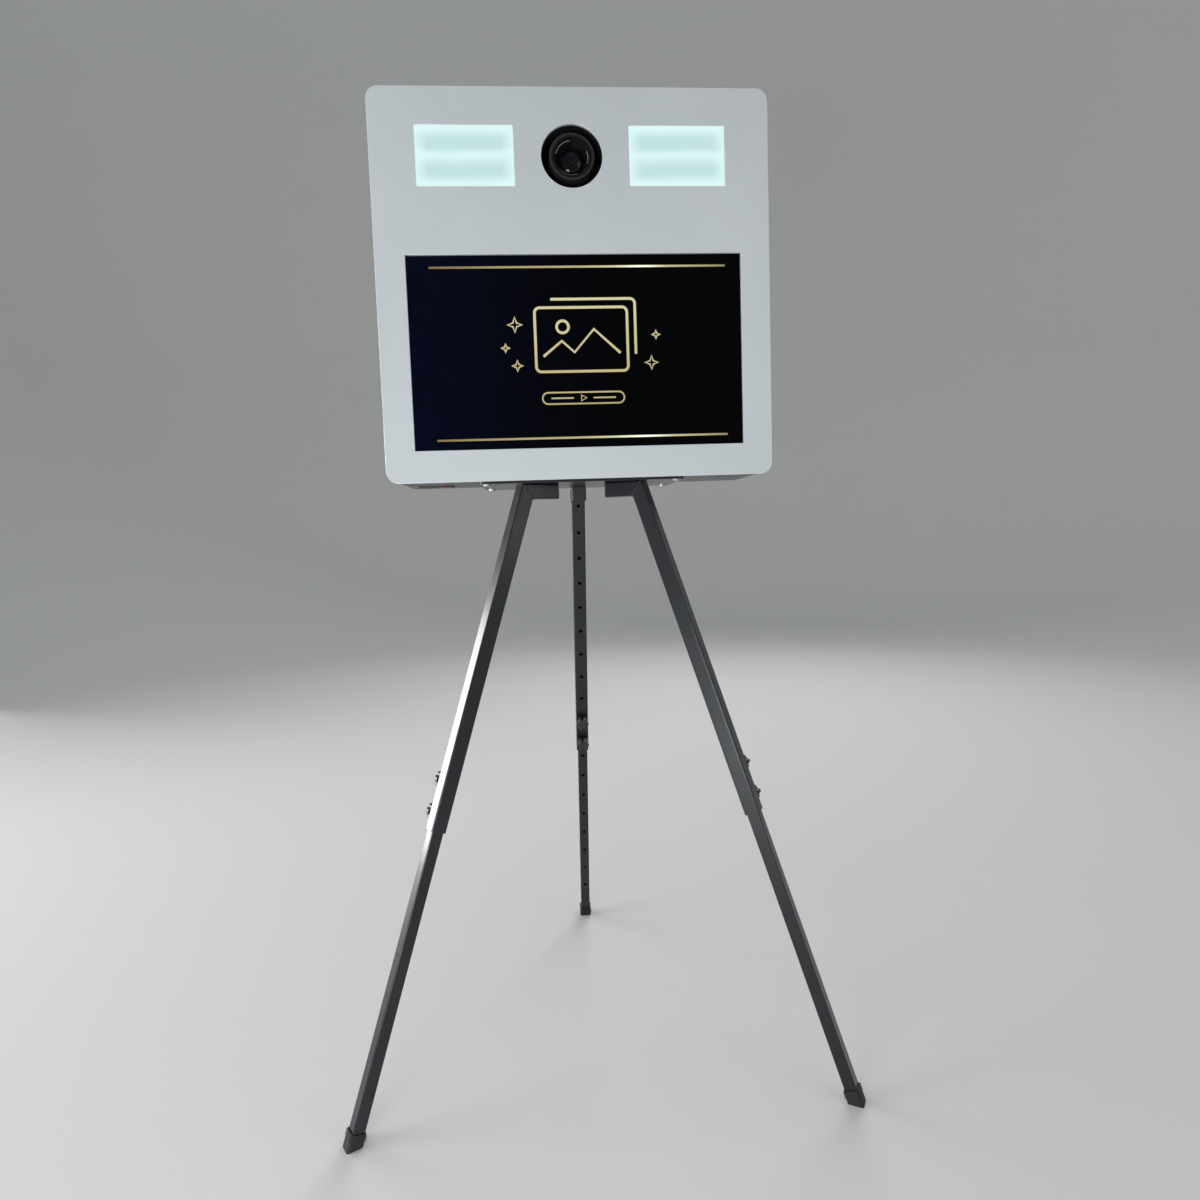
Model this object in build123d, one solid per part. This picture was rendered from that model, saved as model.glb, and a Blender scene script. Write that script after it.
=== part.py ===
from build123d import *
import math
import os

os.makedirs("parts", exist_ok=True)

# A photo booth: a flat case with a touch screen, a camera and two lamps, on a
# stand with three telescopic legs. Millimetres, +Z up, the screen faces -Y.
# The stand is laid out about its own centre line, with the floor at Z = 0.
# The case is laid out in a head frame: X = 0 in the middle, Y = 0 at the front
# panel's front face and Z = 0 at the panel's lower edge.

# Running clearances, per side
run_gap = 0.05       # a pin, screw or plug that turns in its hole
free_gap = 0.3       # round pieces that turn past each other without touching
slot_gap = 0.5       # a flat piece that drops into a pocket
bolt_gap = 0.3       # a fixed screw in its clearance hole

# Front panel
panel_width = 626.0
panel_height = 604.0
panel_thick = 5.0
panel_corner = 20.0
panel_edge_round = 1.0
stand_behind_front = 85.0

screen_width = 531.4
screen_height = 302.0
screen_above_edge = 50.7
window_width = 151.8
window_height = 91.0
window_spread = 166.5
optics_height = 501.0
lens_hole_radius = 48.0

# Case of folded sheet steel
sheet = 1.5
case_depth = 175.0
panel_overhang = 2.0
case_corner = 18.0
front_flange = 18.0
panel_stud_inset = 10.0
rear_flange = 30.0
flange_corner = 8.0
side_pan_arm = 96.0

# Threaded studs set in the back of the front panel, and their nuts
stud_radius = 2.0
stud_sink = 2.5
stud_past_nut = 2.0
nut_across_flats = 7.0
nut_thick = 3.2
fixing_flange = 12.0

# Display
gasket_thick = 0.8
glass_thick = 3.0
glass_margin = 8.5
glass_corner = 4.0
display_thick = 12.0
display_step_inset = 8.0
display_step = 2.0
controller_width = 130.0
controller_height = 75.0
board_thick = 1.6
standoff_height = 6.0
standoff_radius = 3.0
standoff_inset = 5.0
connectors = 4
connector_pitch = 28.0
connector_shift = -3.0
connector_width = 16.0
connector_height = 12.0
connector_depth = 7.0
chip_side = 24.0
chip_thick = 2.0
chip_lift = 6.0

# Lamps beside the lens
diffuser_recess = 0.6
diffuser_lip = 4.0
diffuser_lip_thick = 3.0
lamp_depth = 38.0
led_rows = 3
leds_per_row = 9
led_size = 5.0
led_height = 1.6
led_strip_height = 10.0

# Lens tunnel, lens and camera
tunnel_wall = 2.0
tunnel_length = 33.0
tunnel_flange = 12.0
lens_recess = 1.0
lens_length = 75.0
lens_core_radius = 31.2
lens_mount_radius = 33.5
lens_glass_radius = 20.0
lens_glass_crown = 6.0
lens_glass_edge = 4.0
bezel_radius = 28.5
bezel_depth = 16.0
bezel_lip = 2.0
bezel_step = 0.5
collar_length = 8.0
ring_end_gap = 1.0
focus_ring_radius = 35.5
focus_ring_length = 17.0
zoom_ring_radius = 34.5
zoom_ring_length = 30.0
ring_ribs = 36
ring_rib_height = 0.8
ring_rib_margin = 2.0
camera_width = 129.0
camera_height = 84.0
camera_depth = 55.0
camera_off_centre = 9.5
camera_corner = 7.0
handle_depth = 17.0
handle_width = 32.0
handle_overlap = 8.0
handle_drop = 8.0
handle_corner = 8.0
hump_width = 54.0
hump_height = 15.0
hump_root = 12.0
hump_front = 3.0
hump_back = 8.0
hump_corner = 10.0
eyepiece_width = 36.0
eyepiece_height = 19.0
eyepiece_depth = 5.0
eyepiece_drop = 2.0
mount_wall = 3.0
mount_depth = 4.0
camera_screen_width = 75.0
camera_screen_height = 51.0
camera_screen_thick = 1.2
camera_screen_recess = 1.5
camera_screen_shift = 8.0
camera_screen_rise = 40.0
dial_radius = 9.0
dial_height = 7.0
dial_chamfer = 0.8
dial_grooves = 24
dial_groove_radius = 0.5
dial_shaft_radius = 2.0
dial_shaft_length = 5.0
dial_inset = 22.0
dial_setback = 30.0
shutter_radius = 5.0
shutter_height = 2.0
shutter_travel = 2.0
shutter_stem_radius = 3.0
shutter_stem_length = 3.0
tripod_setback = 30.0
camera_screw_radius = 3.17
camera_screw_depth = 8.0
camera_knob_radius = 10.0
camera_knob_height = 8.0
camera_knob_grooves = 18
camera_knob_groove_radius = 0.9
shelf_thick = 3.0
shelf_depth = 70.0
shelf_lip = 25.0
shelf_screw_inset = 15.0
shelf_screw_length = 8.0
shelf_screw_head_radius = 3.5
shelf_screw_head_height = 1.2
stem_room = 1.0      # depth left under a stem, shaft or screw at the end of its travel

# Equipment on the floor of the case
equipment_lift = 10.0
pc_width = 130.0
pc_depth = 115.0
pc_height = 42.0
pc_middle = -125.0
pc_back_gap = 12.0
pc_corner = 8.0
pc_foot_radius = 7.0
pc_foot_inset = 14.0
pc_vents = 9
pc_vent_pitch = 11.0
pc_vent_width = 3.0
pc_vent_margin = 25.0
pc_ports = 2
pc_port_pitch = 20.0
pc_port_shift = 22.0
pc_port_width = 14.0
pc_port_height = 7.0
pc_port_depth = 6.0
pc_port_rise = 12.0
pc_button_radius = 5.0
pc_button_inset = 20.0
pc_button_thick = 4.0
pc_button_sink = 3.0
pc_button_hole = 5.0
vent_depth = 2.0
supply_width = 199.0
supply_depth = 98.0
supply_height = 38.0
supply_middle = 139.5
supply_back_gap = 17.0
supply_foot_radius = 6.0
supply_foot_inset = 12.0
supply_vent_rows = 5
supply_vent_columns = 12
supply_vent_pitch = 14.0
supply_vent_radius = 3.0
terminal_bay_width = 16.0
terminal_bay_inset = 8.0
terminal_bay_rise = 20.0
inlet_middle = -250.0
inlet_back = 120.0
inlet_cut_width = 47.0
inlet_cut_depth = 27.0
inlet_rim = 6.0
inlet_rim_thick = 2.5
inlet_rim_end = 3.0
inlet_rim_corner = 3.0
inlet_body_height = 26.0
socket_wall = 2.0
socket_width = 24.0
socket_depth = 16.0
socket_height = 16.0
pin_pitch = 7.0
pin_offset = 2.0
pin_width = 2.0
pin_depth = 4.0
pin_sink = 4.0
rocker_bay_width = 19.2
rocker_bay_depth = 14.0
rocker_bay_height = 14.0
rocker_bay_wall = 1.6
rocker_width = 18.0
rocker_depth = 12.0
rocker_tilt = 8.0
rocker_drop = 5.5
rocker_top = 3.0
rocker_slant = 2.0
rocker_pivot_radius = 1.5
rocker_pivot_length = 18.0
rocker_pivot_height = 2.0

# Rear door, hinges, lock and fan
door_side_gap = 1.5
door_proud = 0.2
door_corner = 6.0
stop_width = 14.0
stop_overlap = 6.0
stiffener_below_fan = 73.0
stiffener_above_fan = 117.0
stiffener_depth = 8.0
stiffener_width = 20.0
stiffener_foot = 8.0
hinge_radius = 3.5
hinge_pin_radius = 1.5
hinge_leaf = 24.0
hinge_height = 60.0
hinge_spread = 180.0
hinge_leaf_thick = 1.5
hinge_leaf_gap = 0.8
pin_overhang = 0.5
pin_head = 1.0
pin_head_height = 1.2
rivet_radius = 1.6
rivet_head_radius = 3.0
rivet_tail_radius = 2.4
rivet_head_height = 1.0
rivet_offsets = (10.0, 19.0)
rivet_spread = 18.0
lock_inset = 28.0
lock_body_radius = 9.0
lock_plug_radius = 6.0
lock_length = 20.0
lock_collar = 3.0
lock_collar_thick = 2.5
lock_nut_across_flats = 23.0
lock_nut_thick = 4.0
lock_stud_step = 1.0
lock_stud_length = 2.0
lock_plug_proud = 2.0
key_slot_width = 2.0
key_slot_height = 8.0
key_slot_depth = 8.0
cam_length = 42.0
cam_width = 14.0
cam_thick = 2.0
keeper_half_height = 18.0
keeper_reach = 10.0
pull_drop_bottom = 90.0
pull_drop_top = 30.0
pull_reach = 24.0
pull_bend = 9.0
pull_radius = 4.0
fan_side = 80.0
fan_thick = 25.0
fan_bore_radius = 38.0
fan_blade_radius = 36.0
fan_hub_radius = 16.0
fan_blades = 7
fan_corner = 4.0
fan_seat_thick = 3.0
fan_back_room = 3.0
fan_struts = 3
fan_strut_width = 4.0
fan_strut_sink = 0.5
fan_shaft_radius = 2.0
blade_pitch = 40.0
blade_width = 18.0
blade_thick = 1.6
blade_sink = 2.0
fan_screw_spacing = 71.5
fan_screw_length = 12.0
fan_screw_head_radius = 3.6
fan_screw_head_height = 2.0
guard_bar = 1.8
guard_thick = 1.8
guard_rings = (7.0, 15.0, 23.0, 31.0, 38.0)
guard_eye_radius = 4.5
fan_x = 130.0
fan_z = 265.0
vent_slots = 12
vent_pitch = 11.0
vent_width = 5.0
vent_length = 90.0

# Stand
plate_width = 335.0
plate_thick = 6.0
plate_corner = 12.0
leg_lean = 19.2
tube_side = 25.0
tube_wall = 2.0
tube_corner = 2.5
bore_corner = 0.5
stub_inner_radius = 54.0
elbow_radius = 110.0
upper_length = 562.0
hole_pitch = 52.0
hole_radius = 3.5
first_hole = 17.7
clear_holes = 9
clamp_holes = 2
inner_side = 20.0
inner_wall = 1.5
inner_corner = 2.0
exposed_length = 470.0
overlap_past_clamp = 43.7
inner_holes = 10
inner_hole_start = 32.0
sole_thick = 5.0
foot_wall = 2.2
foot_grip = 14.0
leg_bolt_radius = 3.0
leg_bolt_places = (66.0, 84.0)
leg_bolt_head = 4.0
bolt_across_flats = 10.0
bolt_past_thread = 2.0
plate_screw_head_radius = 5.5
plate_screw_head = 3.0
plate_screw_chamfer = 0.8
plate_nut_thick = 5.0
plate_screw_past_nut = 1.0
nut_bar_thick = 6.0
nut_bar_length = 36.0
nut_bar_width = 18.0
nut_bar_shift = 3.0
plug_depth = 5.0
plug_head = 3.0
plug_chamfer = 1.0
plug_gap = 0.1

# Star grip screws that clamp the inner tubes
grip_radius = 12.5
grip_height = 13.0
grip_lobes = 6
lobe_cut_reach = 2.6
lobe_cut_radius = 5.2
grip_edge_round = 1.5
grip_stud_radius = 3.0
weld_nut_height = 5.0
weld_nut_across_flats = 11.0
grip_standoff = 1.0
tip_gap = 0.05

# Heights and places that follow from the sizes above
lean = math.radians(leg_lean)
inner_end_height = sole_thick + inner_side / 2 * math.sin(lean)
leg_length = upper_length + exposed_length + inner_end_height / math.cos(lean)
elbow_height = leg_length * math.cos(lean)
plate_bottom = elbow_height + tube_side / 2
panel_bottom = plate_bottom + plate_thick - panel_overhang

case_width = panel_width - 2 * panel_overhang
case_height = panel_height - 2 * panel_overhang
case_front = panel_thick
case_back = panel_thick + case_depth
floor_top = panel_overhang + sheet
case_middle = panel_height / 2
screen_middle = screen_above_edge + screen_height / 2
lens_front = lens_recess
lens_back = lens_front + lens_length
camera_back = lens_back + camera_depth
camera_base = optics_height - camera_height / 2
door_inner = case_back - sheet + door_proud
door_outer = door_inner + sheet
door_width = case_width - 2 * rear_flange - 2 * door_side_gap
door_height = case_height - 2 * rear_flange - 2 * door_side_gap
hinge_x = case_width / 2 - rear_flange - door_side_gap / 2
hinge_y = door_outer + hinge_radius + free_gap

head_place = Pos(0, -stand_behind_front, panel_bottom)
leg_turns = {"front_left": 210.0, "front_right": -30.0, "rear": 90.0}

# Turn of each leg about its own length: 0 has its holes and star grips face the other legs
clamp_turns = {"front_left": -90.0, "front_right": 90.0, "rear": 0.0}


# ---------------------------------------------------------------- helpers

def block(x0, x1, y0, y1, z0, z1):
    """A box between two corners."""
    middle = Pos((x0 + x1) / 2, (y0 + y1) / 2, (z0 + z1) / 2)
    return middle * Box(x1 - x0, y1 - y0, z1 - z0)


def slab(sketch, front, thick):
    """A sketch in X and Z, given a thickness from Y = front backwards."""
    return Pos(0, front + thick, 0) * extrude(Plane.XZ * sketch, amount=thick)


def rod(x, z, radius, front, length):
    """A round bar along Y."""
    return slab(Pos(x, z) * Circle(radius), front, length)


def post(x, y, radius, bottom, length):
    """A round bar along Z."""
    return Pos(x, y, bottom + length / 2) * Cylinder(radius, length)


def hexagon(across_flats):
    """A hexagon sketch with this distance across its flats."""
    return RegularPolygon(across_flats / 2, 6, major_radius=False)


def frame_points(half_width, half_height, middle, columns, rows):
    """Points around a rectangle: on its long edges, then between them on its short ones."""
    points = []
    for step in range(columns):
        x = -half_width + 2 * half_width * step / (columns - 1)
        points += [(x, middle - half_height), (x, middle + half_height)]
    for step in range(1, rows - 1):
        z = middle - half_height + 2 * half_height * step / (rows - 1)
        points += [(-half_width, z), (half_width, z)]
    return points


def turned(profile, x, z):
    """A profile of (radius, Y) points turned about an axis along Y."""
    half = make_face(Polyline(*[(radius, y, 0) for radius, y in profile], close=True))
    return Pos(x, 0, z) * revolve(half, axis=Axis.Y)


# ---------------------------------------------------- fixing point layouts

def case_fixings():
    """Studs that hold the front panel to the case's front flange."""
    inset = panel_stud_inset
    return frame_points(case_width / 2 - inset, case_height / 2 - inset, case_middle, 3, 4)


def tray_half_size():
    """Half width and half height of the display tray's pocket."""
    half_width = screen_width / 2 + glass_margin + slot_gap
    half_height = screen_height / 2 + glass_margin + slot_gap
    return half_width, half_height


def tray_fixings():
    """Studs that hold the display tray to the front panel."""
    half_width, half_height = tray_half_size()
    reach = sheet + fixing_flange / 2
    return frame_points(half_width + reach, half_height + reach, screen_middle, 3, 3)


def lamp_half_size():
    """Half width and half height of a lamp box's pocket."""
    half_width = window_width / 2 + diffuser_lip + slot_gap
    half_height = window_height / 2 + diffuser_lip + slot_gap
    return half_width, half_height


def lamp_fixings():
    """Studs at the four corners of both lamp boxes."""
    half_width, half_height = lamp_half_size()
    reach = sheet + fixing_flange / 2
    corners = frame_points(half_width + reach, half_height + reach, optics_height, 2, 2)
    return [(side * window_spread + x, z) for side in (-1, 1) for x, z in corners]


def all_fixings():
    """Every stud in the back of the front panel."""
    return case_fixings() + tray_fixings() + lamp_fixings()


def leg_bolt_points():
    """Where the leg bolts pass down, about the stand's centre line."""
    turns = [math.radians(turn) for turn in leg_turns.values()]
    return [(r * math.cos(t), r * math.sin(t)) for t in turns for r in leg_bolt_places]


def plate_screw_points():
    """Corner screws of the mounting plate, about the stand's centre line."""
    reach = plate_width / 2 - plate_corner
    front = -stand_behind_front + case_front + plate_corner
    back = -stand_behind_front + case_back - 2 * plate_corner
    return [(-reach, front), (reach, front), (-reach, back), (reach, back)]


# ------------------------------------------------------------- front panel

def make_front_panel():
    outline = Pos(0, case_middle) * RectangleRounded(panel_width, panel_height, panel_corner)
    screen = Pos(0, screen_middle) * Rectangle(screen_width, screen_height)
    sketch = outline - screen - Pos(0, optics_height) * Circle(lens_hole_radius)
    for side in (-1, 1):
        sketch -= Pos(side * window_spread, optics_height) * Rectangle(window_width, window_height)
    panel = slab(sketch, 0, panel_thick)
    panel = fillet(panel.faces().sort_by(Axis.Y)[0].edges(), panel_edge_round)
    for x, z in all_fixings():
        panel -= rod(x, z, stud_radius, panel_thick - stud_sink, stud_sink)
    return [panel]


def make_panel_fixings():
    """Studs set in the back of the panel, each with its nut."""
    length = stud_sink + sheet + nut_thick + stud_past_nut
    nut = hexagon(nut_across_flats) - Circle(stud_radius)
    fixings = []
    for x, z in all_fixings():
        fixings.append(rod(x, z, stud_radius, panel_thick - stud_sink, length))
        fixings.append(slab(Pos(x, z) * nut, panel_thick + sheet, nut_thick))
    return fixings


# -------------------------------------------------------------------- case

def case_frame(width_of_flange):
    """A flange of the case: its outline with a rounded opening."""
    outline = RectangleRounded(case_width, case_height, case_corner)
    opening_width = case_width - 2 * width_of_flange
    opening_height = case_height - 2 * width_of_flange
    return Pos(0, case_middle) * (outline - RectangleRounded(opening_width, opening_height, flange_corner))


def case_pans(shell):
    """The four folded pans that are welded into the shell: both sides, roof and floor."""
    seam = case_width / 2 - side_pan_arm
    behind = case_back + sheet
    above = panel_height
    left = shell & block(-case_width, -seam, 0, behind, 0, above)
    right = shell & block(seam, case_width, 0, behind, 0, above)
    floor = shell & block(-seam, seam, 0, behind, 0, case_middle)
    roof = shell & block(-seam, seam, 0, behind, case_middle, above)
    return [left, right, floor, roof]


def make_case_shell():
    outline = RectangleRounded(case_width, case_height, case_corner)
    inside = RectangleRounded(case_width - 2 * sheet, case_height - 2 * sheet, case_corner - sheet)
    shell = slab(Pos(0, case_middle) * (outline - inside), case_front, case_depth)
    shell += slab(case_frame(front_flange), case_front, sheet)
    shell += slab(case_frame(rear_flange), case_back - sheet, sheet)
    for x, z in case_fixings():
        shell -= rod(x, z, stud_radius + bolt_gap, case_front, sheet)
    for x, y in leg_bolt_points() + plate_screw_points():
        shell -= post(x, y + stand_behind_front, leg_bolt_radius + bolt_gap, panel_overhang, sheet)
    shell -= block(
        inlet_middle - inlet_cut_width / 2 - slot_gap, inlet_middle + inlet_cut_width / 2 + slot_gap,
        inlet_back - inlet_cut_depth / 2 - slot_gap, inlet_back + inlet_cut_depth / 2 + slot_gap,
        panel_overhang, floor_top)
    for side, y, z in shelf_screw_points():
        wall = side * (case_width / 2 - sheet / 2)
        shell -= Pos(wall, y, z) * Rot(0, 90, 0) * Cylinder(stud_radius + bolt_gap, 2 * sheet)
    for x, z in hinge_rivet_points(1):
        shell -= rod(x, z, rivet_radius, case_back - sheet, sheet)
    return case_pans(shell) + make_door_stops() + [make_lock_keeper()]


def make_lock_keeper():
    """Cranked bracket welded behind the rear flange; the lock's cam turns in behind its lip."""
    root = -(case_width / 2 - rear_flange) - stop_overlap
    lip_front = cam_front() + cam_thick + slot_gap
    web = block(root - sheet, root, lip_front, case_back - sheet,
                case_middle - keeper_half_height, case_middle + keeper_half_height)
    return web + block(root - sheet, root + keeper_reach, lip_front, lip_front + sheet,
                       case_middle - keeper_half_height, case_middle + keeper_half_height)


def make_door_stops():
    """Strips welded behind the rear flange that the shut door rests on, on its three free sides."""
    back = case_back - sheet
    edge_x = case_width / 2 - rear_flange
    edge_z = case_height / 2 - rear_flange
    reach = stop_width - stop_overlap
    strips = []
    for side in (-1, 1):
        near = case_middle + side * (edge_z + stop_overlap)
        far = case_middle + side * (edge_z - reach)
        strips.append(block(-edge_x - stop_overlap, edge_x - hinge_leaf, back - sheet, back,
                            min(near, far), max(near, far)))
    strips.append(block(-edge_x - stop_overlap, -edge_x + reach, back - sheet, back,
                        case_middle - edge_z + reach, case_middle + edge_z - reach))
    return strips


# ----------------------------------------------------------------- display

def glass_outline():
    """Outline of the touch glass."""
    width = screen_width + 2 * glass_margin
    height = screen_height + 2 * glass_margin
    return Pos(0, screen_middle) * RectangleRounded(width, height, glass_corner)


def make_screen_gasket():
    window = Pos(0, screen_middle) * Rectangle(screen_width + 2 * slot_gap, screen_height + 2 * slot_gap)
    return [slab(glass_outline() - window, panel_thick, gasket_thick)]


def make_touch_glass():
    return [slab(glass_outline(), panel_thick + gasket_thick, glass_thick)]


def make_display_module():
    """The display: a slim metal-edged slab with a driver strip on its back."""
    front = panel_thick + gasket_thick + glass_thick
    width = screen_width + glass_margin
    height = screen_height + glass_margin
    depth = display_thick - display_step
    module = slab(Pos(0, screen_middle) * Rectangle(width, height), front, depth)
    step = Pos(0, screen_middle) * Rectangle(width - 2 * display_step_inset, height - 2 * display_step_inset)
    return [module + slab(step, front + depth, display_step)]


def tray_back():
    """Y of the display tray's outer back face."""
    return panel_thick + gasket_thick + glass_thick + display_thick + sheet


def make_display_tray():
    half_width, half_height = tray_half_size()
    pocket = Rectangle(2 * half_width, 2 * half_height)
    outside = Rectangle(2 * (half_width + sheet), 2 * (half_height + sheet))
    flange = RectangleRounded(2 * (half_width + sheet + fixing_flange),
                              2 * (half_height + sheet + fixing_flange), flange_corner)
    middle = Pos(0, screen_middle)
    tray = slab(middle * outside, panel_thick, tray_back() - panel_thick)
    tray += slab(middle * flange, panel_thick, sheet)
    tray -= slab(middle * pocket, panel_thick, tray_back() - sheet - panel_thick)
    for x, z in tray_fixings():
        tray -= rod(x, z, stud_radius + bolt_gap, panel_thick, sheet)
    return [tray]


def make_display_controller():
    """Driver board on four standoffs, with its connectors."""
    back = tray_back()
    outline = Pos(0, screen_middle) * Rectangle(controller_width, controller_height)
    board = slab(outline, back + standoff_height, board_thick)
    for x, z in frame_points(controller_width / 2 - standoff_inset, controller_height / 2 - standoff_inset,
                             screen_middle, 2, 2):
        board += rod(x, z, standoff_radius, back, standoff_height)
    face = back + standoff_height + board_thick
    bottom = screen_middle - controller_height / 2
    for place in range(connectors):
        x = connector_shift + (place - (connectors - 1) / 2) * connector_pitch
        board += block(x - connector_width / 2, x + connector_width / 2, face, face + connector_depth,
                       bottom, bottom + connector_height)
    chip = Pos(0, screen_middle + chip_lift) * Rectangle(chip_side, chip_side)
    board += slab(chip, face, chip_thick)
    return [board]


# ------------------------------------------------------------------- lamps

def both_sides(make):
    """The pieces that make(side) gives for the left lamp and the right one."""
    return [piece for side in (-1, 1) for piece in make(side)]


def make_diffuser(side):
    """Opal plate that stands in the window and rests on its lip behind the panel."""
    middle = Pos(side * window_spread, optics_height)
    width = window_width - 2 * bolt_gap
    height = window_height - 2 * bolt_gap
    plate = slab(middle * Rectangle(width, height), diffuser_recess, panel_thick - diffuser_recess)
    lip = Rectangle(window_width + 2 * diffuser_lip, window_height + 2 * diffuser_lip)
    return [plate + slab(middle * lip, panel_thick, diffuser_lip_thick)]


def make_lamp_box(side):
    """Folded box behind a diffuser, open to the front."""
    half_width, half_height = lamp_half_size()
    middle = Pos(side * window_spread, optics_height)
    outside = Rectangle(2 * (half_width + sheet), 2 * (half_height + sheet))
    flange = Rectangle(2 * (half_width + sheet + fixing_flange), 2 * (half_height + sheet + fixing_flange))
    box = slab(middle * outside, panel_thick, lamp_depth)
    box += slab(middle * flange, panel_thick, sheet)
    box -= slab(middle * Rectangle(2 * half_width, 2 * half_height), panel_thick, lamp_depth - sheet)
    for x, z in lamp_fixings():
        box -= rod(x, z, stud_radius + bolt_gap, panel_thick, sheet)
    return [box]


def make_led_strips(side):
    """Rows of light-emitting diodes on narrow boards at the back of a lamp box."""
    back = panel_thick + lamp_depth - sheet
    strip_width = window_width - led_size
    row_step = (window_height - led_strip_height) / (led_rows - 1)
    led_step = strip_width / leds_per_row
    strips = []
    for row in range(led_rows):
        z = optics_height + (row - (led_rows - 1) / 2) * row_step
        middle = Pos(side * window_spread, z)
        strip = slab(middle * Rectangle(strip_width, led_strip_height), back - board_thick, board_thick)
        for place in range(leds_per_row):
            x = side * window_spread + (place - (leds_per_row - 1) / 2) * led_step
            led = Pos(x, z) * Rectangle(led_size, led_size)
            strip += slab(led, back - board_thick - led_height, led_height)
        strips.append(strip)
    return strips


# ---------------------------------------------------------- lens and camera

def make_lens_tunnel():
    inner = lens_hole_radius
    outer = inner + tunnel_wall
    profile = [(inner, panel_thick), (outer + tunnel_flange, panel_thick),
               (outer + tunnel_flange, panel_thick + tunnel_wall), (outer, panel_thick + tunnel_wall),
               (outer, panel_thick + tunnel_length), (inner, panel_thick + tunnel_length)]
    return [turned(profile, 0, optics_height)]


def collar_front():
    """Y of the collar between the focus ring and the zoom ring."""
    return lens_front + focus_ring_length + 2 * ring_end_gap


def make_lens_barrel():
    """Fixed core of the lens: bezel cone, collar between the rings, and mount."""
    bore = lens_glass_radius + run_gap
    collar = collar_front()
    zoom_back = collar + collar_length + zoom_ring_length + 2 * ring_end_gap
    profile = [(bore, lens_front + bezel_depth), (bezel_radius - bezel_step, lens_front + bezel_lip),
               (bezel_radius, lens_front), (lens_core_radius, lens_front), (lens_core_radius, collar),
               (lens_mount_radius, collar), (lens_mount_radius, collar + collar_length),
               (lens_core_radius, collar + collar_length), (lens_core_radius, zoom_back),
               (lens_mount_radius, zoom_back), (lens_mount_radius, lens_back), (bore, lens_back)]
    return [turned(profile, 0, optics_height)]


def make_lens_glass():
    """Front element: a domed disc at the back of the bezel cone."""
    crown = lens_glass_crown
    front = lens_front + bezel_depth - crown
    radius = (lens_glass_radius ** 2 + crown ** 2) / (2 * crown)
    dome = Pos(0, front + radius, optics_height) * Sphere(radius)
    disc = rod(0, optics_height, lens_glass_radius, front, crown + lens_glass_edge)
    return [dome & disc]


def make_grip_ring(front, length, radius):
    """A ring with ribs along it, which turns on the lens core."""
    z = optics_height
    ring = Pos(0, z) * (Circle(radius) - Circle(lens_core_radius + free_gap))
    rib_width = math.pi * radius / ring_ribs
    ribbed = slab(ring, front, length)
    groove = block(-rib_width / 2, rib_width / 2, front + ring_rib_margin, front + length - ring_rib_margin,
                   radius - ring_rib_height, radius + ring_rib_height)
    for place in range(ring_ribs):
        ribbed -= Pos(0, 0, z) * Rot(0, 360.0 * place / ring_ribs, 0) * groove
    return [ribbed]


def make_focus_ring():
    return make_grip_ring(lens_front + ring_end_gap, focus_ring_length, focus_ring_radius)


def make_zoom_ring():
    return make_grip_ring(collar_front() + collar_length + ring_end_gap, zoom_ring_length, zoom_ring_radius)


def camera_x(offset):
    """X from the camera's middle, which is off the lens axis."""
    return offset - camera_off_centre


def make_camera_body():
    left = camera_x(-camera_width / 2)
    right = camera_x(camera_width / 2)
    top = camera_base + camera_height
    body = block(left, right, lens_back, camera_back, camera_base, top)
    body = fillet(body.edges().filter_by(Axis.Y), camera_corner)
    hump = block(-hump_width / 2, hump_width / 2, lens_back - hump_front, camera_back - hump_back,
                 top - hump_root, top + hump_height)
    hump = fillet(hump.edges().filter_by(Axis.Y).sort_by(Axis.Z)[-2:], hump_corner)
    handle = block(left, left + handle_width, lens_back - handle_depth, lens_back + handle_overlap,
                   camera_base, top - handle_drop)
    handle = fillet(handle.edges().filter_by(Axis.Z).sort_by(Axis.Y)[:2], handle_corner)
    body = body + hump + handle
    eyepiece_top = top + hump_height - eyepiece_drop
    body += block(-eyepiece_width / 2, eyepiece_width / 2, camera_back - hump_back,
                  camera_back + eyepiece_depth, eyepiece_top - eyepiece_height, eyepiece_top)
    body += rod(0, optics_height, lens_mount_radius + mount_wall, lens_back - mount_depth, mount_depth)
    body -= rod(0, optics_height, lens_mount_radius + run_gap, lens_back - mount_depth, mount_depth)
    bay = Rectangle(camera_screen_width + 2 * slot_gap, camera_screen_height + 2 * slot_gap)
    body -= slab(camera_screen_place() * bay, camera_back - camera_screen_recess, camera_screen_recess)
    screw_depth = camera_screw_depth + stem_room
    body -= post(0, lens_back + tripod_setback, camera_screw_radius + run_gap, camera_base, screw_depth)
    x, y = dial_place()
    shaft_depth = dial_shaft_length + stem_room
    body -= post(x, y, dial_shaft_radius + run_gap, top - shaft_depth, shaft_depth)
    x, y, button_top = button_place()
    stem_depth = shutter_stem_length + shutter_travel + stem_room
    body -= post(x, y, shutter_stem_radius + run_gap, button_top - stem_depth, stem_depth)
    return [body]


def dial_place():
    """X and Y of the mode dial's axis."""
    return camera_x(-camera_width / 2) + dial_inset, lens_back + dial_setback


def button_place():
    """X, Y and Z of the shutter button on top of the handle."""
    return (camera_x(-camera_width / 2) + handle_width / 2, lens_back - handle_depth / 2,
            camera_base + camera_height - handle_drop)


def camera_screen_place():
    """Middle of the screen on the camera's back."""
    return Pos(camera_x(camera_screen_shift), camera_base + camera_screen_rise)


def make_camera_screen():
    face = camera_screen_place() * Rectangle(camera_screen_width, camera_screen_height)
    return [slab(face, camera_back - camera_screen_recess, camera_screen_thick)]


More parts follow.
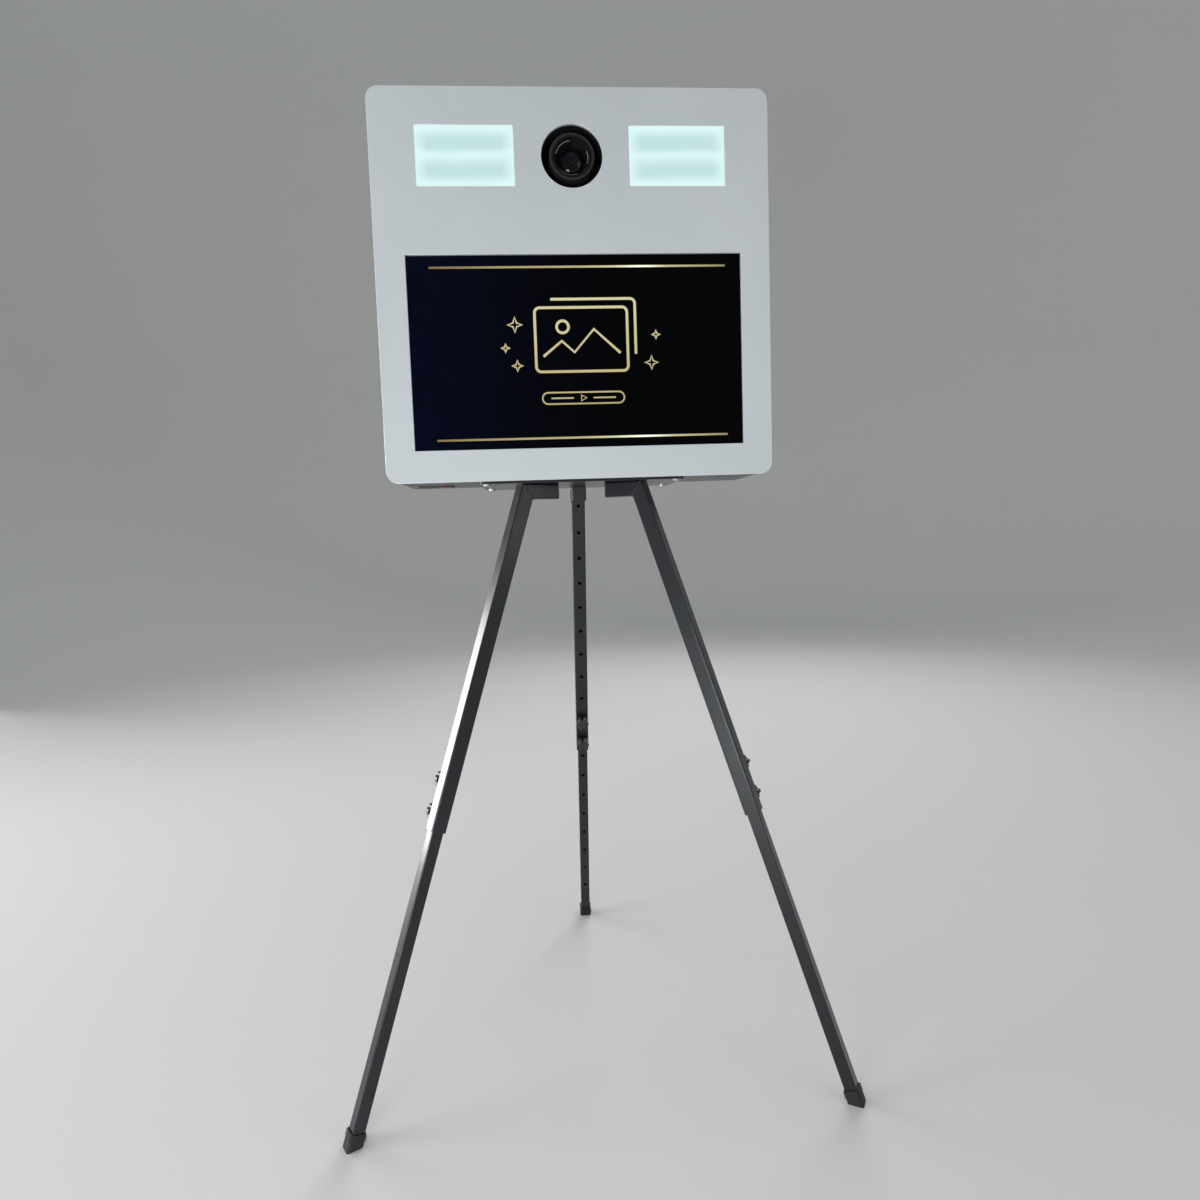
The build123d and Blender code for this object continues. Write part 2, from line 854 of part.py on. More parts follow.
def make_mode_dial():
    x, y = dial_place()
    top = camera_base + camera_height
    dial = post(x, y, dial_radius, top + free_gap, dial_height)
    dial = chamfer(dial.edges().sort_by(Axis.Z)[-1], dial_chamfer)
    for place in range(dial_grooves):
        turn = 2 * math.pi * place / dial_grooves
        dial -= post(x + dial_radius * math.cos(turn), y + dial_radius * math.sin(turn), dial_groove_radius,
                     top + dial_chamfer, dial_height)
    return [dial + post(x, y, dial_shaft_radius, top - dial_shaft_length, dial_shaft_length + free_gap)]


def make_shutter_button():
    x, y, top = button_place()
    cap = post(x, y, shutter_radius, top + shutter_travel, shutter_height)
    stem = post(x, y, shutter_stem_radius, top - shutter_stem_length, shutter_stem_length + shutter_travel)
    return [cap + stem]


def make_camera_shelf():
    """Channel across the case that the camera stands on."""
    half = case_width / 2 - sheet - bolt_gap
    front = lens_back
    back = front + shelf_depth
    top = camera_base
    shelf = block(-half, half, front, back, top - shelf_thick, top)
    for side in (-1, 1):
        inner = side * (half - shelf_thick)
        shelf += block(min(inner, side * half), max(inner, side * half), front, back, top - shelf_lip, top)
    shelf += block(-half, half, front, front + shelf_thick, top - shelf_lip, top)
    hole = camera_screw_radius + bolt_gap
    shelf -= post(0, lens_back + tripod_setback, hole, top - shelf_thick, shelf_thick)
    for side, y, z in shelf_screw_points():
        shelf -= Pos(side * half, y, z) * Rot(0, 90, 0) * Cylinder(stud_radius + run_gap, 3 * shelf_thick)
    return [shelf]


def shelf_screw_points():
    """Side, Y and Z of the screws through the case sides into the shelf."""
    z = camera_base - shelf_lip / 2 - shelf_thick / 2
    places = (shelf_screw_inset, shelf_depth - shelf_screw_inset)
    return [(side, lens_back + y, z) for side in (-1, 1) for y in places]


def make_shelf_screws():
    screws = []
    outer = case_width / 2
    for side, y, z in shelf_screw_points():
        across = Pos(side * outer, y, z) * Rot(0, 90 * side, 0)
        shank = across * Pos(0, 0, -shelf_screw_length / 2) * Cylinder(stud_radius, shelf_screw_length)
        head = Cylinder(shelf_screw_head_radius, shelf_screw_head_height)
        screws.append(shank + across * Pos(0, 0, shelf_screw_head_height / 2) * head)
    return screws


def make_camera_screw():
    """Thumb screw from below the shelf into the camera."""
    y = lens_back + tripod_setback
    under = camera_base - shelf_thick - free_gap
    bottom = under - camera_knob_height
    knob = post(0, y, camera_knob_radius, bottom, camera_knob_height)
    knob = chamfer(knob.edges().sort_by(Axis.Z)[0], camera_knob_groove_radius)
    for place in range(camera_knob_grooves):
        turn = 2 * math.pi * place / camera_knob_grooves
        knob -= post(camera_knob_radius * math.cos(turn), y + camera_knob_radius * math.sin(turn),
                     camera_knob_groove_radius, bottom, camera_knob_height)
    stud_length = shelf_thick + free_gap + camera_screw_depth
    return [knob + post(0, y, camera_screw_radius, under, stud_length)]


# --------------------------------------------------- equipment on the floor

def make_mini_computer():
    left = pc_middle - pc_width / 2
    back = case_back - pc_back_gap
    bottom = floor_top + equipment_lift
    top = bottom + pc_height
    box = block(left, left + pc_width, back - pc_depth, back, bottom, top)
    box = fillet(box.edges().filter_by(Axis.Z), pc_corner)
    inset = pc_foot_inset
    for x, y in frame_points(pc_width / 2 - inset, pc_depth / 2 - inset, back - pc_depth / 2, 2, 2):
        box += post(pc_middle + x, y, pc_foot_radius, floor_top, equipment_lift)
    for place in range(pc_vents):
        x = pc_middle + (place - (pc_vents - 1) / 2) * pc_vent_pitch
        box -= block(x - pc_vent_width / 2, x + pc_vent_width / 2, back - pc_depth + pc_vent_margin,
                     back - pc_vent_margin, top - vent_depth, top)
    for place in range(pc_ports):
        x = pc_middle + pc_port_shift + (place - (pc_ports - 1) / 2) * pc_port_pitch
        box -= block(x - pc_port_width / 2, x + pc_port_width / 2, back - pc_port_depth, back,
                     bottom + pc_port_rise, bottom + pc_port_rise + pc_port_height)
    x, z = computer_button_place()
    box -= rod(x, z, pc_button_radius + free_gap, back - pc_button_hole, pc_button_hole)
    return [box]


def computer_button_place():
    """X and Z of the computer's power button."""
    return pc_middle - pc_width / 2 + pc_button_inset, floor_top + equipment_lift + pc_height / 2


def make_computer_button():
    x, z = computer_button_place()
    return [rod(x, z, pc_button_radius, case_back - pc_back_gap - pc_button_sink, pc_button_thick)]


def make_power_supply():
    left = supply_middle - supply_width / 2
    back = case_back - supply_back_gap
    middle = back - supply_depth / 2
    bottom = floor_top + equipment_lift
    top = bottom + supply_height
    box = block(left, left + supply_width, back - supply_depth, back, bottom, top)
    inset = supply_foot_inset
    for x, y in frame_points(supply_width / 2 - inset, supply_depth / 2 - inset, middle, 2, 2):
        box += post(supply_middle + x, y, supply_foot_radius, floor_top, equipment_lift)
    for row in range(supply_vent_rows):
        for column in range(supply_vent_columns):
            x = supply_middle + (column - (supply_vent_columns - 1) / 2) * supply_vent_pitch
            y = middle + (row - (supply_vent_rows - 1) / 2) * supply_vent_pitch
            box -= post(x, y, supply_vent_radius, top - vent_depth, vent_depth)
    box -= block(left, left + terminal_bay_width, back - supply_depth + terminal_bay_inset,
                 back - terminal_bay_inset, bottom + terminal_bay_rise, top)
    return [box]


def make_power_inlet():
    """Mains inlet with a switch bay, let into the floor of the case from below."""
    x = inlet_middle
    y = inlet_back
    under = panel_overhang
    wide = inlet_cut_width / 2
    deep = inlet_cut_depth / 2
    inlet = block(x - wide, x + wide, y - deep, y + deep, under, under + inlet_body_height)
    rim = block(x - wide - inlet_rim, x + wide + inlet_rim,
                y - deep - inlet_rim_end, y + deep + inlet_rim_end, under - inlet_rim_thick, under)
    inlet += fillet(rim.edges().filter_by(Axis.Z), inlet_rim_corner)
    rim_face = under - inlet_rim_thick
    socket_left = x - wide + socket_wall
    inlet -= block(socket_left, socket_left + socket_width, y - socket_depth / 2, y + socket_depth / 2,
                   rim_face, under + socket_height)
    for step in (-1, 0, 1):
        pin_x = socket_left + socket_width / 2 + step * pin_pitch
        pin_y = y + (pin_offset if step == 0 else -pin_offset)
        inlet += block(pin_x - pin_width / 2, pin_x + pin_width / 2,
                       pin_y - pin_depth / 2, pin_y + pin_depth / 2, under + pin_sink, under + socket_height)
    rocker_x = inlet_rocker_place()
    inlet -= block(rocker_x - rocker_bay_width / 2, rocker_x + rocker_bay_width / 2,
                   y - rocker_bay_depth / 2, y + rocker_bay_depth / 2, rim_face, under + rocker_bay_height)
    pivot = Cylinder(rocker_pivot_radius + run_gap, rocker_pivot_length + 2 * stem_room)
    return [inlet - Pos(rocker_x, y, under + rocker_pivot_height) * Rot(90, 0, 0) * pivot]


def inlet_rocker_place():
    """X of the rocker's pivot."""
    return inlet_middle + inlet_cut_width / 2 - rocker_bay_wall - rocker_bay_width / 2


def make_rocker_switch():
    """Rocker that tilts about a pin along Y; its lower face is a shallow V."""
    slope = math.tan(math.radians(rocker_tilt))
    half = rocker_width / 2
    top_half = half - rocker_slant
    low_end = half * slope - rocker_drop
    outline = Polyline((-half, low_end), (0, -rocker_drop), (half, low_end), (top_half, rocker_top),
                       (-top_half, rocker_top), close=True)
    paddle = extrude(Plane.XZ * make_face(outline), amount=rocker_depth / 2, both=True)
    paddle += Rot(90, 0, 0) * Cylinder(rocker_pivot_radius, rocker_pivot_length)
    place = Pos(inlet_rocker_place(), inlet_back, panel_overhang + rocker_pivot_height)
    return [place * Rot(0, rocker_tilt, 0) * paddle]


# ------------------------------------------------------- door, lock and fan

def lock_x():
    """X of the lock's axis, on the door's free side."""
    return -door_width / 2 + lock_inset


def cam_front():
    """Y of the lock cam's inner face."""
    return door_outer - lock_length - cam_thick - free_gap


def make_rear_door():
    door = slab(Pos(0, case_middle) * RectangleRounded(door_width, door_height, door_corner),
                door_inner, sheet)
    door -= rod(lock_x(), case_middle, lock_body_radius + run_gap, door_inner, sheet)
    door -= rod(fan_x, fan_z, fan_bore_radius, door_inner, sheet)
    for x, z in fan_screw_points():
        door -= rod(x, z, stud_radius + bolt_gap, door_inner, sheet)
    slot = SlotOverall(vent_length, vent_width, rotation=90)
    for place in range(vent_slots):
        x = -fan_x + (place - (vent_slots - 1) / 2) * vent_pitch
        door -= slab(Pos(x, fan_z) * slot, door_inner, sheet)
    for x, z in hinge_rivet_points(-1):
        door -= rod(x, z, rivet_radius, door_inner, sheet)
    return [door]


def make_door_stiffeners():
    """Two hat-shaped bars across the inside of the door."""
    half = (door_width - 2 * stop_width - 2 * lock_inset) / 2
    front = door_inner - stiffener_depth
    rise = stiffener_width / 2
    bars = []
    low = fan_z - fan_side / 2 - stiffener_below_fan
    high = fan_z + fan_side / 2 + stiffener_above_fan
    for z in (low, high):
        bar = block(-half, half, front, door_inner, z - rise, z + rise)
        bar -= block(-half, half, front + sheet, door_inner, z - rise + sheet, z + rise - sheet)
        foot = rise + stiffener_foot
        feet = block(-half, half, door_inner - sheet, door_inner, z - foot, z + foot)
        bars.append(bar + (feet - block(-half, half, front, door_inner, z - rise, z + rise)))
    return bars


def hinge_rivet_points(sign):
    """X and Z of the rivets through the leaves: sign +1 on the case, -1 on the door."""
    middles = [case_middle + side * hinge_spread for side in (-1, 1)]
    return [(hinge_x + sign * x, z + up) for z in middles for x in rivet_offsets
            for up in (-rivet_spread, rivet_spread)]


def knuckles(bottom, spans, sign):
    """Barrel pieces and the tabs that join them to their leaf."""
    pieces = []
    for low, high in spans:
        barrel = post(hinge_x, hinge_y, hinge_radius, bottom + low, high - low)
        near = hinge_x
        far = hinge_x + sign * (hinge_radius + 2 * hinge_leaf_gap)
        leaf_back = leaf_face(sign) + hinge_leaf_thick
        tab = block(min(near, far), max(near, far), leaf_face(sign), leaf_back, bottom + low, bottom + high)
        pieces.append(barrel + tab)
    return pieces


def leaf_face(sign):
    """Y of the face that a hinge leaf lies on: the case's rear flange or the door."""
    return case_back if sign > 0 else door_outer


def make_hinge_leaves(sign, spans, pin_hole):
    """The leaves on one side of both hinges: sign +1 on the case, -1 on the door."""
    leaves = []
    for side in (-1, 1):
        bottom = case_middle + side * hinge_spread - hinge_height / 2
        near = hinge_x + sign * (hinge_radius + hinge_leaf_gap)
        far = hinge_x + sign * hinge_leaf
        face = leaf_face(sign)
        leaf = block(min(near, far), max(near, far), face, face + hinge_leaf_thick,
                     bottom, bottom + hinge_height)
        for piece in knuckles(bottom, spans, sign):
            leaf += piece
        leaf -= post(hinge_x, hinge_y, pin_hole, bottom, hinge_height)
        for x, z in hinge_rivet_points(sign):
            leaf -= rod(x, z, rivet_radius, face, hinge_leaf_thick)
        leaves.append(leaf)
    return leaves


def make_case_leaves():
    third = hinge_height / 3
    return make_hinge_leaves(1, [(0, third), (2 * third, hinge_height)], hinge_pin_radius)


def make_door_leaves():
    third = hinge_height / 3
    return make_hinge_leaves(-1, [(third + free_gap, 2 * third - free_gap)], hinge_pin_radius + run_gap)


def make_hinge_pins():
    pins = []
    for side in (-1, 1):
        bottom = case_middle + side * hinge_spread - hinge_height / 2
        top = bottom + hinge_height
        pin = post(hinge_x, hinge_y, hinge_pin_radius, bottom - pin_overhang, hinge_height + pin_overhang)
        pins.append(pin + post(hinge_x, hinge_y, hinge_pin_radius + pin_head, top, pin_head_height))
    return pins


def make_hinge_rivets(sign):
    """Rivets through the leaves on one side of both hinges."""
    face = leaf_face(sign)
    inner = case_back - sheet if sign > 0 else door_inner
    rivets = []
    for x, z in hinge_rivet_points(sign):
        shank = rod(x, z, rivet_radius, inner, face + hinge_leaf_thick - inner)
        head = rod(x, z, rivet_head_radius, face + hinge_leaf_thick, rivet_head_height)
        tail = rod(x, z, rivet_tail_radius, inner - rivet_head_height, rivet_head_height)
        rivets.append(shank + head + tail)
    return rivets


def make_lock_sleeve():
    """Threaded sleeve with a flat collar outside the door and its nut inside."""
    x = lock_x()
    front = door_outer - lock_length
    body = rod(x, case_middle, lock_body_radius, front, lock_length)
    body += rod(x, case_middle, lock_body_radius + lock_collar, door_outer, lock_collar_thick)
    body -= rod(x, case_middle, lock_plug_radius + run_gap, front, lock_length + lock_collar_thick)
    nut = hexagon(lock_nut_across_flats) - Circle(lock_body_radius)
    return [body, slab(Pos(x, case_middle) * nut, door_inner - lock_nut_thick, lock_nut_thick)]


def make_lock_plug():
    """Key plug: it turns in the sleeve and carries the cam on its inner end."""
    x = lock_x()
    front = door_outer - lock_length - cam_thick
    back = door_outer + lock_plug_proud
    plug = rod(x, case_middle, lock_plug_radius, front, back - front)
    plug += rod(x, case_middle, lock_plug_radius - lock_stud_step, front - lock_stud_length, lock_stud_length)
    slot = block(x - key_slot_width / 2, x + key_slot_width / 2, back - key_slot_depth, back,
                 case_middle - key_slot_height / 2, case_middle + key_slot_height / 2)
    return [plug - slot]


def make_lock_cam():
    """Tongue that stands upright when unlocked and turns in behind the keeper."""
    x = lock_x()
    raised = (cam_length - cam_width) / 2
    tongue = Pos(x, case_middle + raised) * SlotOverall(cam_length, cam_width, rotation=90)
    cam = slab(tongue, cam_front(), cam_thick)
    return [cam - rod(x, case_middle, lock_plug_radius, cam_front(), cam_thick)]


def make_door_pull():
    """Bow handle beside the lock."""
    x = lock_x()
    low = case_middle - pull_drop_bottom
    high = case_middle - pull_drop_top
    path = FilletPolyline((x, door_outer, low), (x, door_outer + pull_reach, low),
                          (x, door_outer + pull_reach, high), (x, door_outer, high), radius=pull_bend)
    return [sweep((path ^ 0) * Circle(pull_radius), path=path)]


def fan_screw_points():
    """X and Z of the four fan screws."""
    half = fan_screw_spacing / 2
    return [(fan_x + x * half, fan_z + z * half) for x in (-1, 1) for z in (-1, 1)]


def make_fan_frame():
    """Square fan housing on the inside of the door, with three struts to the motor seat."""
    front = door_inner - fan_thick
    outline = RectangleRounded(fan_side, fan_side, fan_corner) - Circle(fan_bore_radius)
    frame = slab(Pos(fan_x, fan_z) * outline, front, fan_thick)
    frame += rod(fan_x, fan_z, fan_hub_radius, front, fan_seat_thick)
    strut = block(-fan_strut_width / 2, fan_strut_width / 2, 0, fan_seat_thick,
                  0, fan_bore_radius + fan_strut_sink)
    for place in range(fan_struts):
        frame += Pos(fan_x, front, fan_z) * Rot(0, 360 * place / fan_struts, 0) * strut
    frame -= rod(fan_x, fan_z, fan_shaft_radius + run_gap, front, fan_seat_thick)
    for x, z in fan_screw_points():
        frame -= rod(x, z, stud_radius, front, fan_thick)
    return [frame]


def make_fan_rotor():
    """Hub, shaft and pitched blades."""
    seat = door_inner - fan_thick
    front = seat + fan_seat_thick + free_gap
    depth = fan_thick - fan_seat_thick - fan_back_room
    middle = Pos(fan_x, front + depth / 2, fan_z)
    rotor = middle * Rot(90, 0, 0) * Cylinder(fan_hub_radius, depth)
    root = fan_hub_radius - blade_sink
    blade_length = fan_blade_radius - root + blade_sink
    blade = Rot(0, 0, blade_pitch) * Box(blade_width, blade_thick, blade_length)
    blade = Pos(0, 0, root + blade_length / 2) * blade
    for place in range(fan_blades):
        rotor += middle * Rot(0, 360 * place / fan_blades, 0) * blade
    rotor = rotor & rod(fan_x, fan_z, fan_blade_radius, front, depth)
    return [rotor + rod(fan_x, fan_z, fan_shaft_radius, seat, fan_seat_thick + free_gap)]


def make_fan_guard():
    """Finger guard on the outside of the door: rings joined by four arms to screw eyes."""
    half = guard_bar / 2
    outline = Pos(fan_x, fan_z) * Circle(guard_rings[0] + half)
    for radius in guard_rings:
        outline += Pos(fan_x, fan_z) * (Circle(radius + half) - Circle(radius - half))
    reach = fan_screw_spacing / math.sqrt(2)
    for place in range(4):
        arm = Pos(reach / 2 + guard_rings[0] / 2, 0) * Rectangle(reach - guard_rings[0], guard_bar)
        outline += Pos(fan_x, fan_z) * Rot(0, 0, 45 + 90 * place) * arm
    for x, z in fan_screw_points():
        outline += Pos(x, z) * Circle(guard_eye_radius)
    for x, z in fan_screw_points():
        outline -= Pos(x, z) * Circle(stud_radius + bolt_gap)
    return [slab(outline, door_outer, guard_thick)]


def make_fan_screws():
    screws = []
    for x, z in fan_screw_points():
        under = door_outer + guard_thick
        shank = rod(x, z, stud_radius, door_inner - fan_screw_length, under - door_inner + fan_screw_length)
        screws.append(shank + rod(x, z, fan_screw_head_radius, under, fan_screw_head_height))
    return screws


# ------------------------------------------------------------------- stand

def make_mounting_plate():
    middle = Pos(0, case_front - stand_behind_front + case_depth / 2)
    plate = extrude(middle * RectangleRounded(plate_width, case_depth, plate_corner), amount=plate_thick)
    plate = Pos(0, 0, plate_bottom) * plate
    for x, y in leg_bolt_points() + plate_screw_points():
        plate -= post(x, y, leg_bolt_radius + bolt_gap, plate_bottom, plate_thick)
    return [plate]


def bolt_up(x, y, head_bottom, length, head_thick):
    """A hexagon bolt that hangs down from its head."""
    head = Pos(x, y, head_bottom) * extrude(hexagon(bolt_across_flats), amount=head_thick)
    return head + post(x, y, leg_bolt_radius, head_bottom - length, length)


def make_leg_bolts():
    """Bolts from inside the case, through floor and plate, into the nut bars in the stubs."""
    top = plate_bottom + plate_thick + sheet
    length = sheet + plate_thick + tube_wall + nut_bar_thick + bolt_past_thread
    return [bolt_up(x, y, top, length, leg_bolt_head) for x, y in leg_bolt_points()]


def make_plate_fixings():
    """Corner screws of the plate, heads below, with their nuts on the floor of the case."""
    length = plate_thick + sheet + plate_nut_thick + plate_screw_past_nut
    nut = hexagon(bolt_across_flats) - Circle(leg_bolt_radius)
    fixings = []
    for x, y in plate_screw_points():
        head = post(x, y, plate_screw_head_radius, plate_bottom - plate_screw_head, plate_screw_head)
        head = chamfer(head.edges().sort_by(Axis.Z)[0], plate_screw_chamfer)
        fixings.append(head + post(x, y, leg_bolt_radius, plate_bottom, length))
        fixings.append(Pos(x, y, plate_bottom + plate_thick + sheet) * extrude(nut, amount=plate_nut_thick))
    return fixings


def leg_frame(leg):
    """Origin on the stand's centre line at elbow height, X outwards along this leg."""
    return Pos(0, 0, elbow_height) * Rot(0, 0, leg_turns[leg])


def tube_frame(leg):
    """Origin at the elbow, Z down along the tube, X out of the face with the holes and grips."""
    along = Plane(origin=(elbow_radius, 0, 0), x_dir=(-math.cos(lean), 0, -math.sin(lean)),
                  z_dir=(math.sin(lean), 0, -math.cos(lean)))
    return leg_frame(leg) * Location(along) * Rot(0, 0, clamp_turns[leg])


def square_bar(side, corner, start, length):
    """A square bar with rounded corners along Z."""
    return Pos(0, 0, start) * extrude(RectangleRounded(side, side, corner), amount=length)


def clamp_places():
    """Distances of the clamp screws from the elbow."""
    return [first_hole + (clear_holes + place) * hole_pitch for place in range(clamp_holes)]


def make_upper_leg(leg):
    """Mitred square tube: a level stub under the plate, then the leaning leg."""
    path = Polyline((stub_inner_radius, 0, 0), (elbow_radius, 0, 0),
                    (elbow_radius + upper_length * math.sin(lean), 0, -upper_length * math.cos(lean)))
    start = Plane(origin=(stub_inner_radius, 0, 0), x_dir=(0, 1, 0), z_dir=(1, 0, 0))
    bore_side = tube_side - 2 * tube_wall
    outer = start * RectangleRounded(tube_side, tube_side, tube_corner)
    inner = start * RectangleRounded(bore_side, bore_side, bore_corner)
    outside = sweep(outer, path=path, transition=Transition.RIGHT)
    bore = sweep(inner, path=path, transition=Transition.RIGHT)
    tube = leg_frame(leg) * (outside - bore)
    face = tube_side / 2 - tube_wall / 2
    for place in range(clear_holes):
        hole = Pos(face, 0, first_hole + place * hole_pitch) * Rot(0, 90, 0)
        tube -= tube_frame(leg) * hole * Cylinder(hole_radius, 2 * tube_wall)
    for distance in clamp_places():
        hole = Pos(face, 0, distance) * Rot(0, 90, 0)
        tube -= tube_frame(leg) * hole * Cylinder(grip_stud_radius + bolt_gap, 2 * tube_wall)
    for reach in leg_bolt_places:
        tube -= leg_frame(leg) * Pos(reach, 0, face) * Cylinder(leg_bolt_radius + bolt_gap, 2 * tube_wall)
    return [tube] + make_weld_nuts(leg)


def make_stub_plugs():
    """Push-in caps that close the inner ends of the stubs."""
    plugs = []
    bore = tube_side - 2 * tube_wall - 2 * plug_gap
    for leg in leg_turns:
        head = Plane(origin=(stub_inner_radius - plug_head, 0, 0), x_dir=(0, 1, 0), z_dir=(1, 0, 0))
        cap = extrude(head * RectangleRounded(tube_side, tube_side, tube_corner), amount=plug_head)
        cap = chamfer(cap.faces().sort_by(Axis.X)[0].edges(), plug_chamfer)
        tail = Plane(origin=(stub_inner_radius, 0, 0), x_dir=(0, 1, 0), z_dir=(1, 0, 0))
        stem = extrude(tail * RectangleRounded(bore, bore, bore_corner), amount=plug_depth)
        plugs.append(leg_frame(leg) * (cap + stem))
    return plugs


def make_nut_bars():
    """Tapped bars inside the stubs that the leg bolts screw into."""
    middle = sum(leg_bolt_places) / len(leg_bolt_places) + nut_bar_shift
    top = tube_side / 2 - tube_wall
    bar = block(middle - nut_bar_length / 2, middle + nut_bar_length / 2,
                -nut_bar_width / 2, nut_bar_width / 2, top - nut_bar_thick, top)
    for reach in leg_bolt_places:
        bar -= post(reach, 0, leg_bolt_radius, top - nut_bar_thick, nut_bar_thick)
    return [leg_frame(leg) * bar for leg in leg_turns]


def make_weld_nuts(leg):
    """Nuts welded on one leg's tube, one under each star grip."""
    sketch = hexagon(weld_nut_across_flats) - Circle(grip_stud_radius + run_gap)
    nut = Rot(0, 90, 0) * extrude(sketch, amount=weld_nut_height)
    return [tube_frame(leg) * Pos(tube_side / 2, 0, distance) * nut for distance in clamp_places()]


def make_grip_screw(leg, distance):
    """Star grip with a stud whose flat tip bears on the inner tube."""
    tip = inner_side / 2 + tip_gap
    head = tube_side / 2 + weld_nut_height + grip_standoff
    reach = grip_radius + lobe_cut_reach
    star = Circle(grip_radius)
    for place in range(grip_lobes):
        around = 2 * math.pi * place / grip_lobes
        star -= Pos(reach * math.cos(around), reach * math.sin(around)) * Circle(lobe_cut_radius)
    grip = extrude(star, amount=grip_height)
    grip = Pos(0, 0, head) * fillet(grip.faces().sort_by(Axis.Z)[-1].edges(), grip_edge_round)
    stud = Pos(0, 0, tip) * extrude(Circle(grip_stud_radius), amount=head - tip)
    return [tube_frame(leg) * Pos(0, 0, distance) * Rot(0, 90, 0) * (grip + stud)]


def make_inner_leg(leg):
    """Perforated inner tube, pushed out to its full length."""
    top = clamp_places()[0] - overlap_past_clamp
    length = upper_length - top + exposed_length
    tube = square_bar(inner_side, inner_corner, top, length)
    bore = inner_side - 2 * inner_wall
    tube -= square_bar(bore, bore_corner, top, length)
    for place in range(inner_holes):
        distance = top + inner_hole_start + place * hole_pitch
        hole = Rot(0, 90, 0) * Cylinder(hole_radius, 2 * inner_wall)
        tube -= Pos(inner_side / 2 - inner_wall / 2, 0, distance) * hole
    return [tube_frame(leg) * tube]


def make_foot_cap(leg):
    """Rubber cap over the end of the inner tube, cut level where it stands."""
    end = upper_length + exposed_length
    below = (inner_end_height + inner_side * math.sin(lean)) / math.cos(lean)
    outer_side = inner_side + 2 * foot_wall
    cap = square_bar(outer_side, inner_corner + foot_wall, end - foot_grip, foot_grip + below)
    cap -= square_bar(inner_side, inner_corner, end - foot_grip, foot_grip)
    cap = tube_frame(leg) * cap
    reach = 4 * upper_length
    return [cap - Pos(0, 0, -reach / 2) * Box(reach, reach, reach)]


# --------------------------------------------------------------- assembly

head_nodes = {
    "front_panel": make_front_panel(),
    "panel_fixings": make_panel_fixings(),
    "case_shell": make_case_shell(),
    "screen_gasket": make_screen_gasket(),
    "touch_glass": make_touch_glass(),
    "display_module": make_display_module(),
    "display_tray": make_display_tray(),
    "display_controller": make_display_controller(),
    "diffusers": both_sides(make_diffuser),
    "lamp_boxes": both_sides(make_lamp_box),
    "led_strips": both_sides(make_led_strips),
    "lens_tunnel": make_lens_tunnel(),
    "lens_barrel": make_lens_barrel(),
    "lens_glass": make_lens_glass(),
    "focus_ring": make_focus_ring(),
    "zoom_ring": make_zoom_ring(),
    "camera_body": make_camera_body(),
    "camera_screen": make_camera_screen(),
    "mode_dial": make_mode_dial(),
    "shutter_button": make_shutter_button(),
    "camera_shelf": make_camera_shelf(),
    "shelf_screws": make_shelf_screws(),
    "camera_screw": make_camera_screw(),
    "mini_computer": make_mini_computer(),
    "computer_button": make_computer_button(),
    "power_supply": make_power_supply(),
    "power_inlet": make_power_inlet(),
    "rocker_switch": make_rocker_switch(),
    "rear_door": make_rear_door(),
    "door_stiffeners": make_door_stiffeners(),
    "hinge_case_side": make_case_leaves() + make_hinge_pins() + make_hinge_rivets(1),
    "hinge_door_side": make_door_leaves() + make_hinge_rivets(-1),
    "lock_sleeve": make_lock_sleeve(),
    "lock_plug": make_lock_plug(),
    "lock_cam": make_lock_cam(),
    "door_pull": make_door_pull(),
    "fan_frame": make_fan_frame(),
    "fan_rotor": make_fan_rotor(),
    "fan_guard": make_fan_guard(),
    "fan_screws": make_fan_screws(),
}

nodes = {name: [head_place * solid for solid in solids] for name, solids in head_nodes.items()}
nodes["mounting_plate"] = make_mounting_plate()
nodes["leg_bolts"] = make_leg_bolts()
nodes["plate_fixings"] = make_plate_fixings()
nodes["stub_plugs"] = make_stub_plugs()
nodes["nut_bars"] = make_nut_bars()
upper_place, lower_place = clamp_places()
for leg in leg_turns:
    nodes["upper_leg_" + leg] = make_upper_leg(leg)
    nodes["inner_leg_" + leg] = make_inner_leg(leg)
    nodes["foot_cap_" + leg] = make_foot_cap(leg)
    nodes["grip_screw_upper_" + leg] = make_grip_screw(leg, upper_place)
    nodes["grip_screw_lower_" + leg] = make_grip_screw(leg, lower_place)

# The origin is the middle of the whole outline on the floor.
boxes = [solid.bounding_box() for solids in nodes.values() for solid in solids]
middle_x = (min(box.min.X for box in boxes) + max(box.max.X for box in boxes)) / 2
middle_y = (min(box.min.Y for box in boxes) + max(box.max.Y for box in boxes)) / 2
to_origin = Pos(-middle_x, -middle_y, 0)

for name, solids in nodes.items():
    moved = [to_origin * solid for solid in solids]
    export_step(moved[0] if len(moved) == 1 else Compound(children=moved), "parts/" + name + ".step")
print("nodes", len(nodes))
print("stand centre line at X", round(-middle_x, 3), "Y", round(-middle_y, 3))
print("panel lower edge at Z", round(panel_bottom, 3), "elbow height", round(elbow_height, 3))
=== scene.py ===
"""Looks of a photo booth: a flat lit case on three telescopic legs.

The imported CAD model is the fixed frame. Each sub-assembly below dresses its CAD
nodes in procedural finishes and adds the fine pieces that ride on the same bodies.
Everything is in metres, in the frame of the CAD model, with the screen facing -Y.
"""

import logging
import math
from dataclasses import dataclass
from enum import Enum, StrEnum
from typing import Iterable, Sequence

import bmesh
import bpy
from bpy.types import Material, Mesh, Node, NodeSocket, NodeTree, Object
from mathutils import Euler, Matrix, Vector


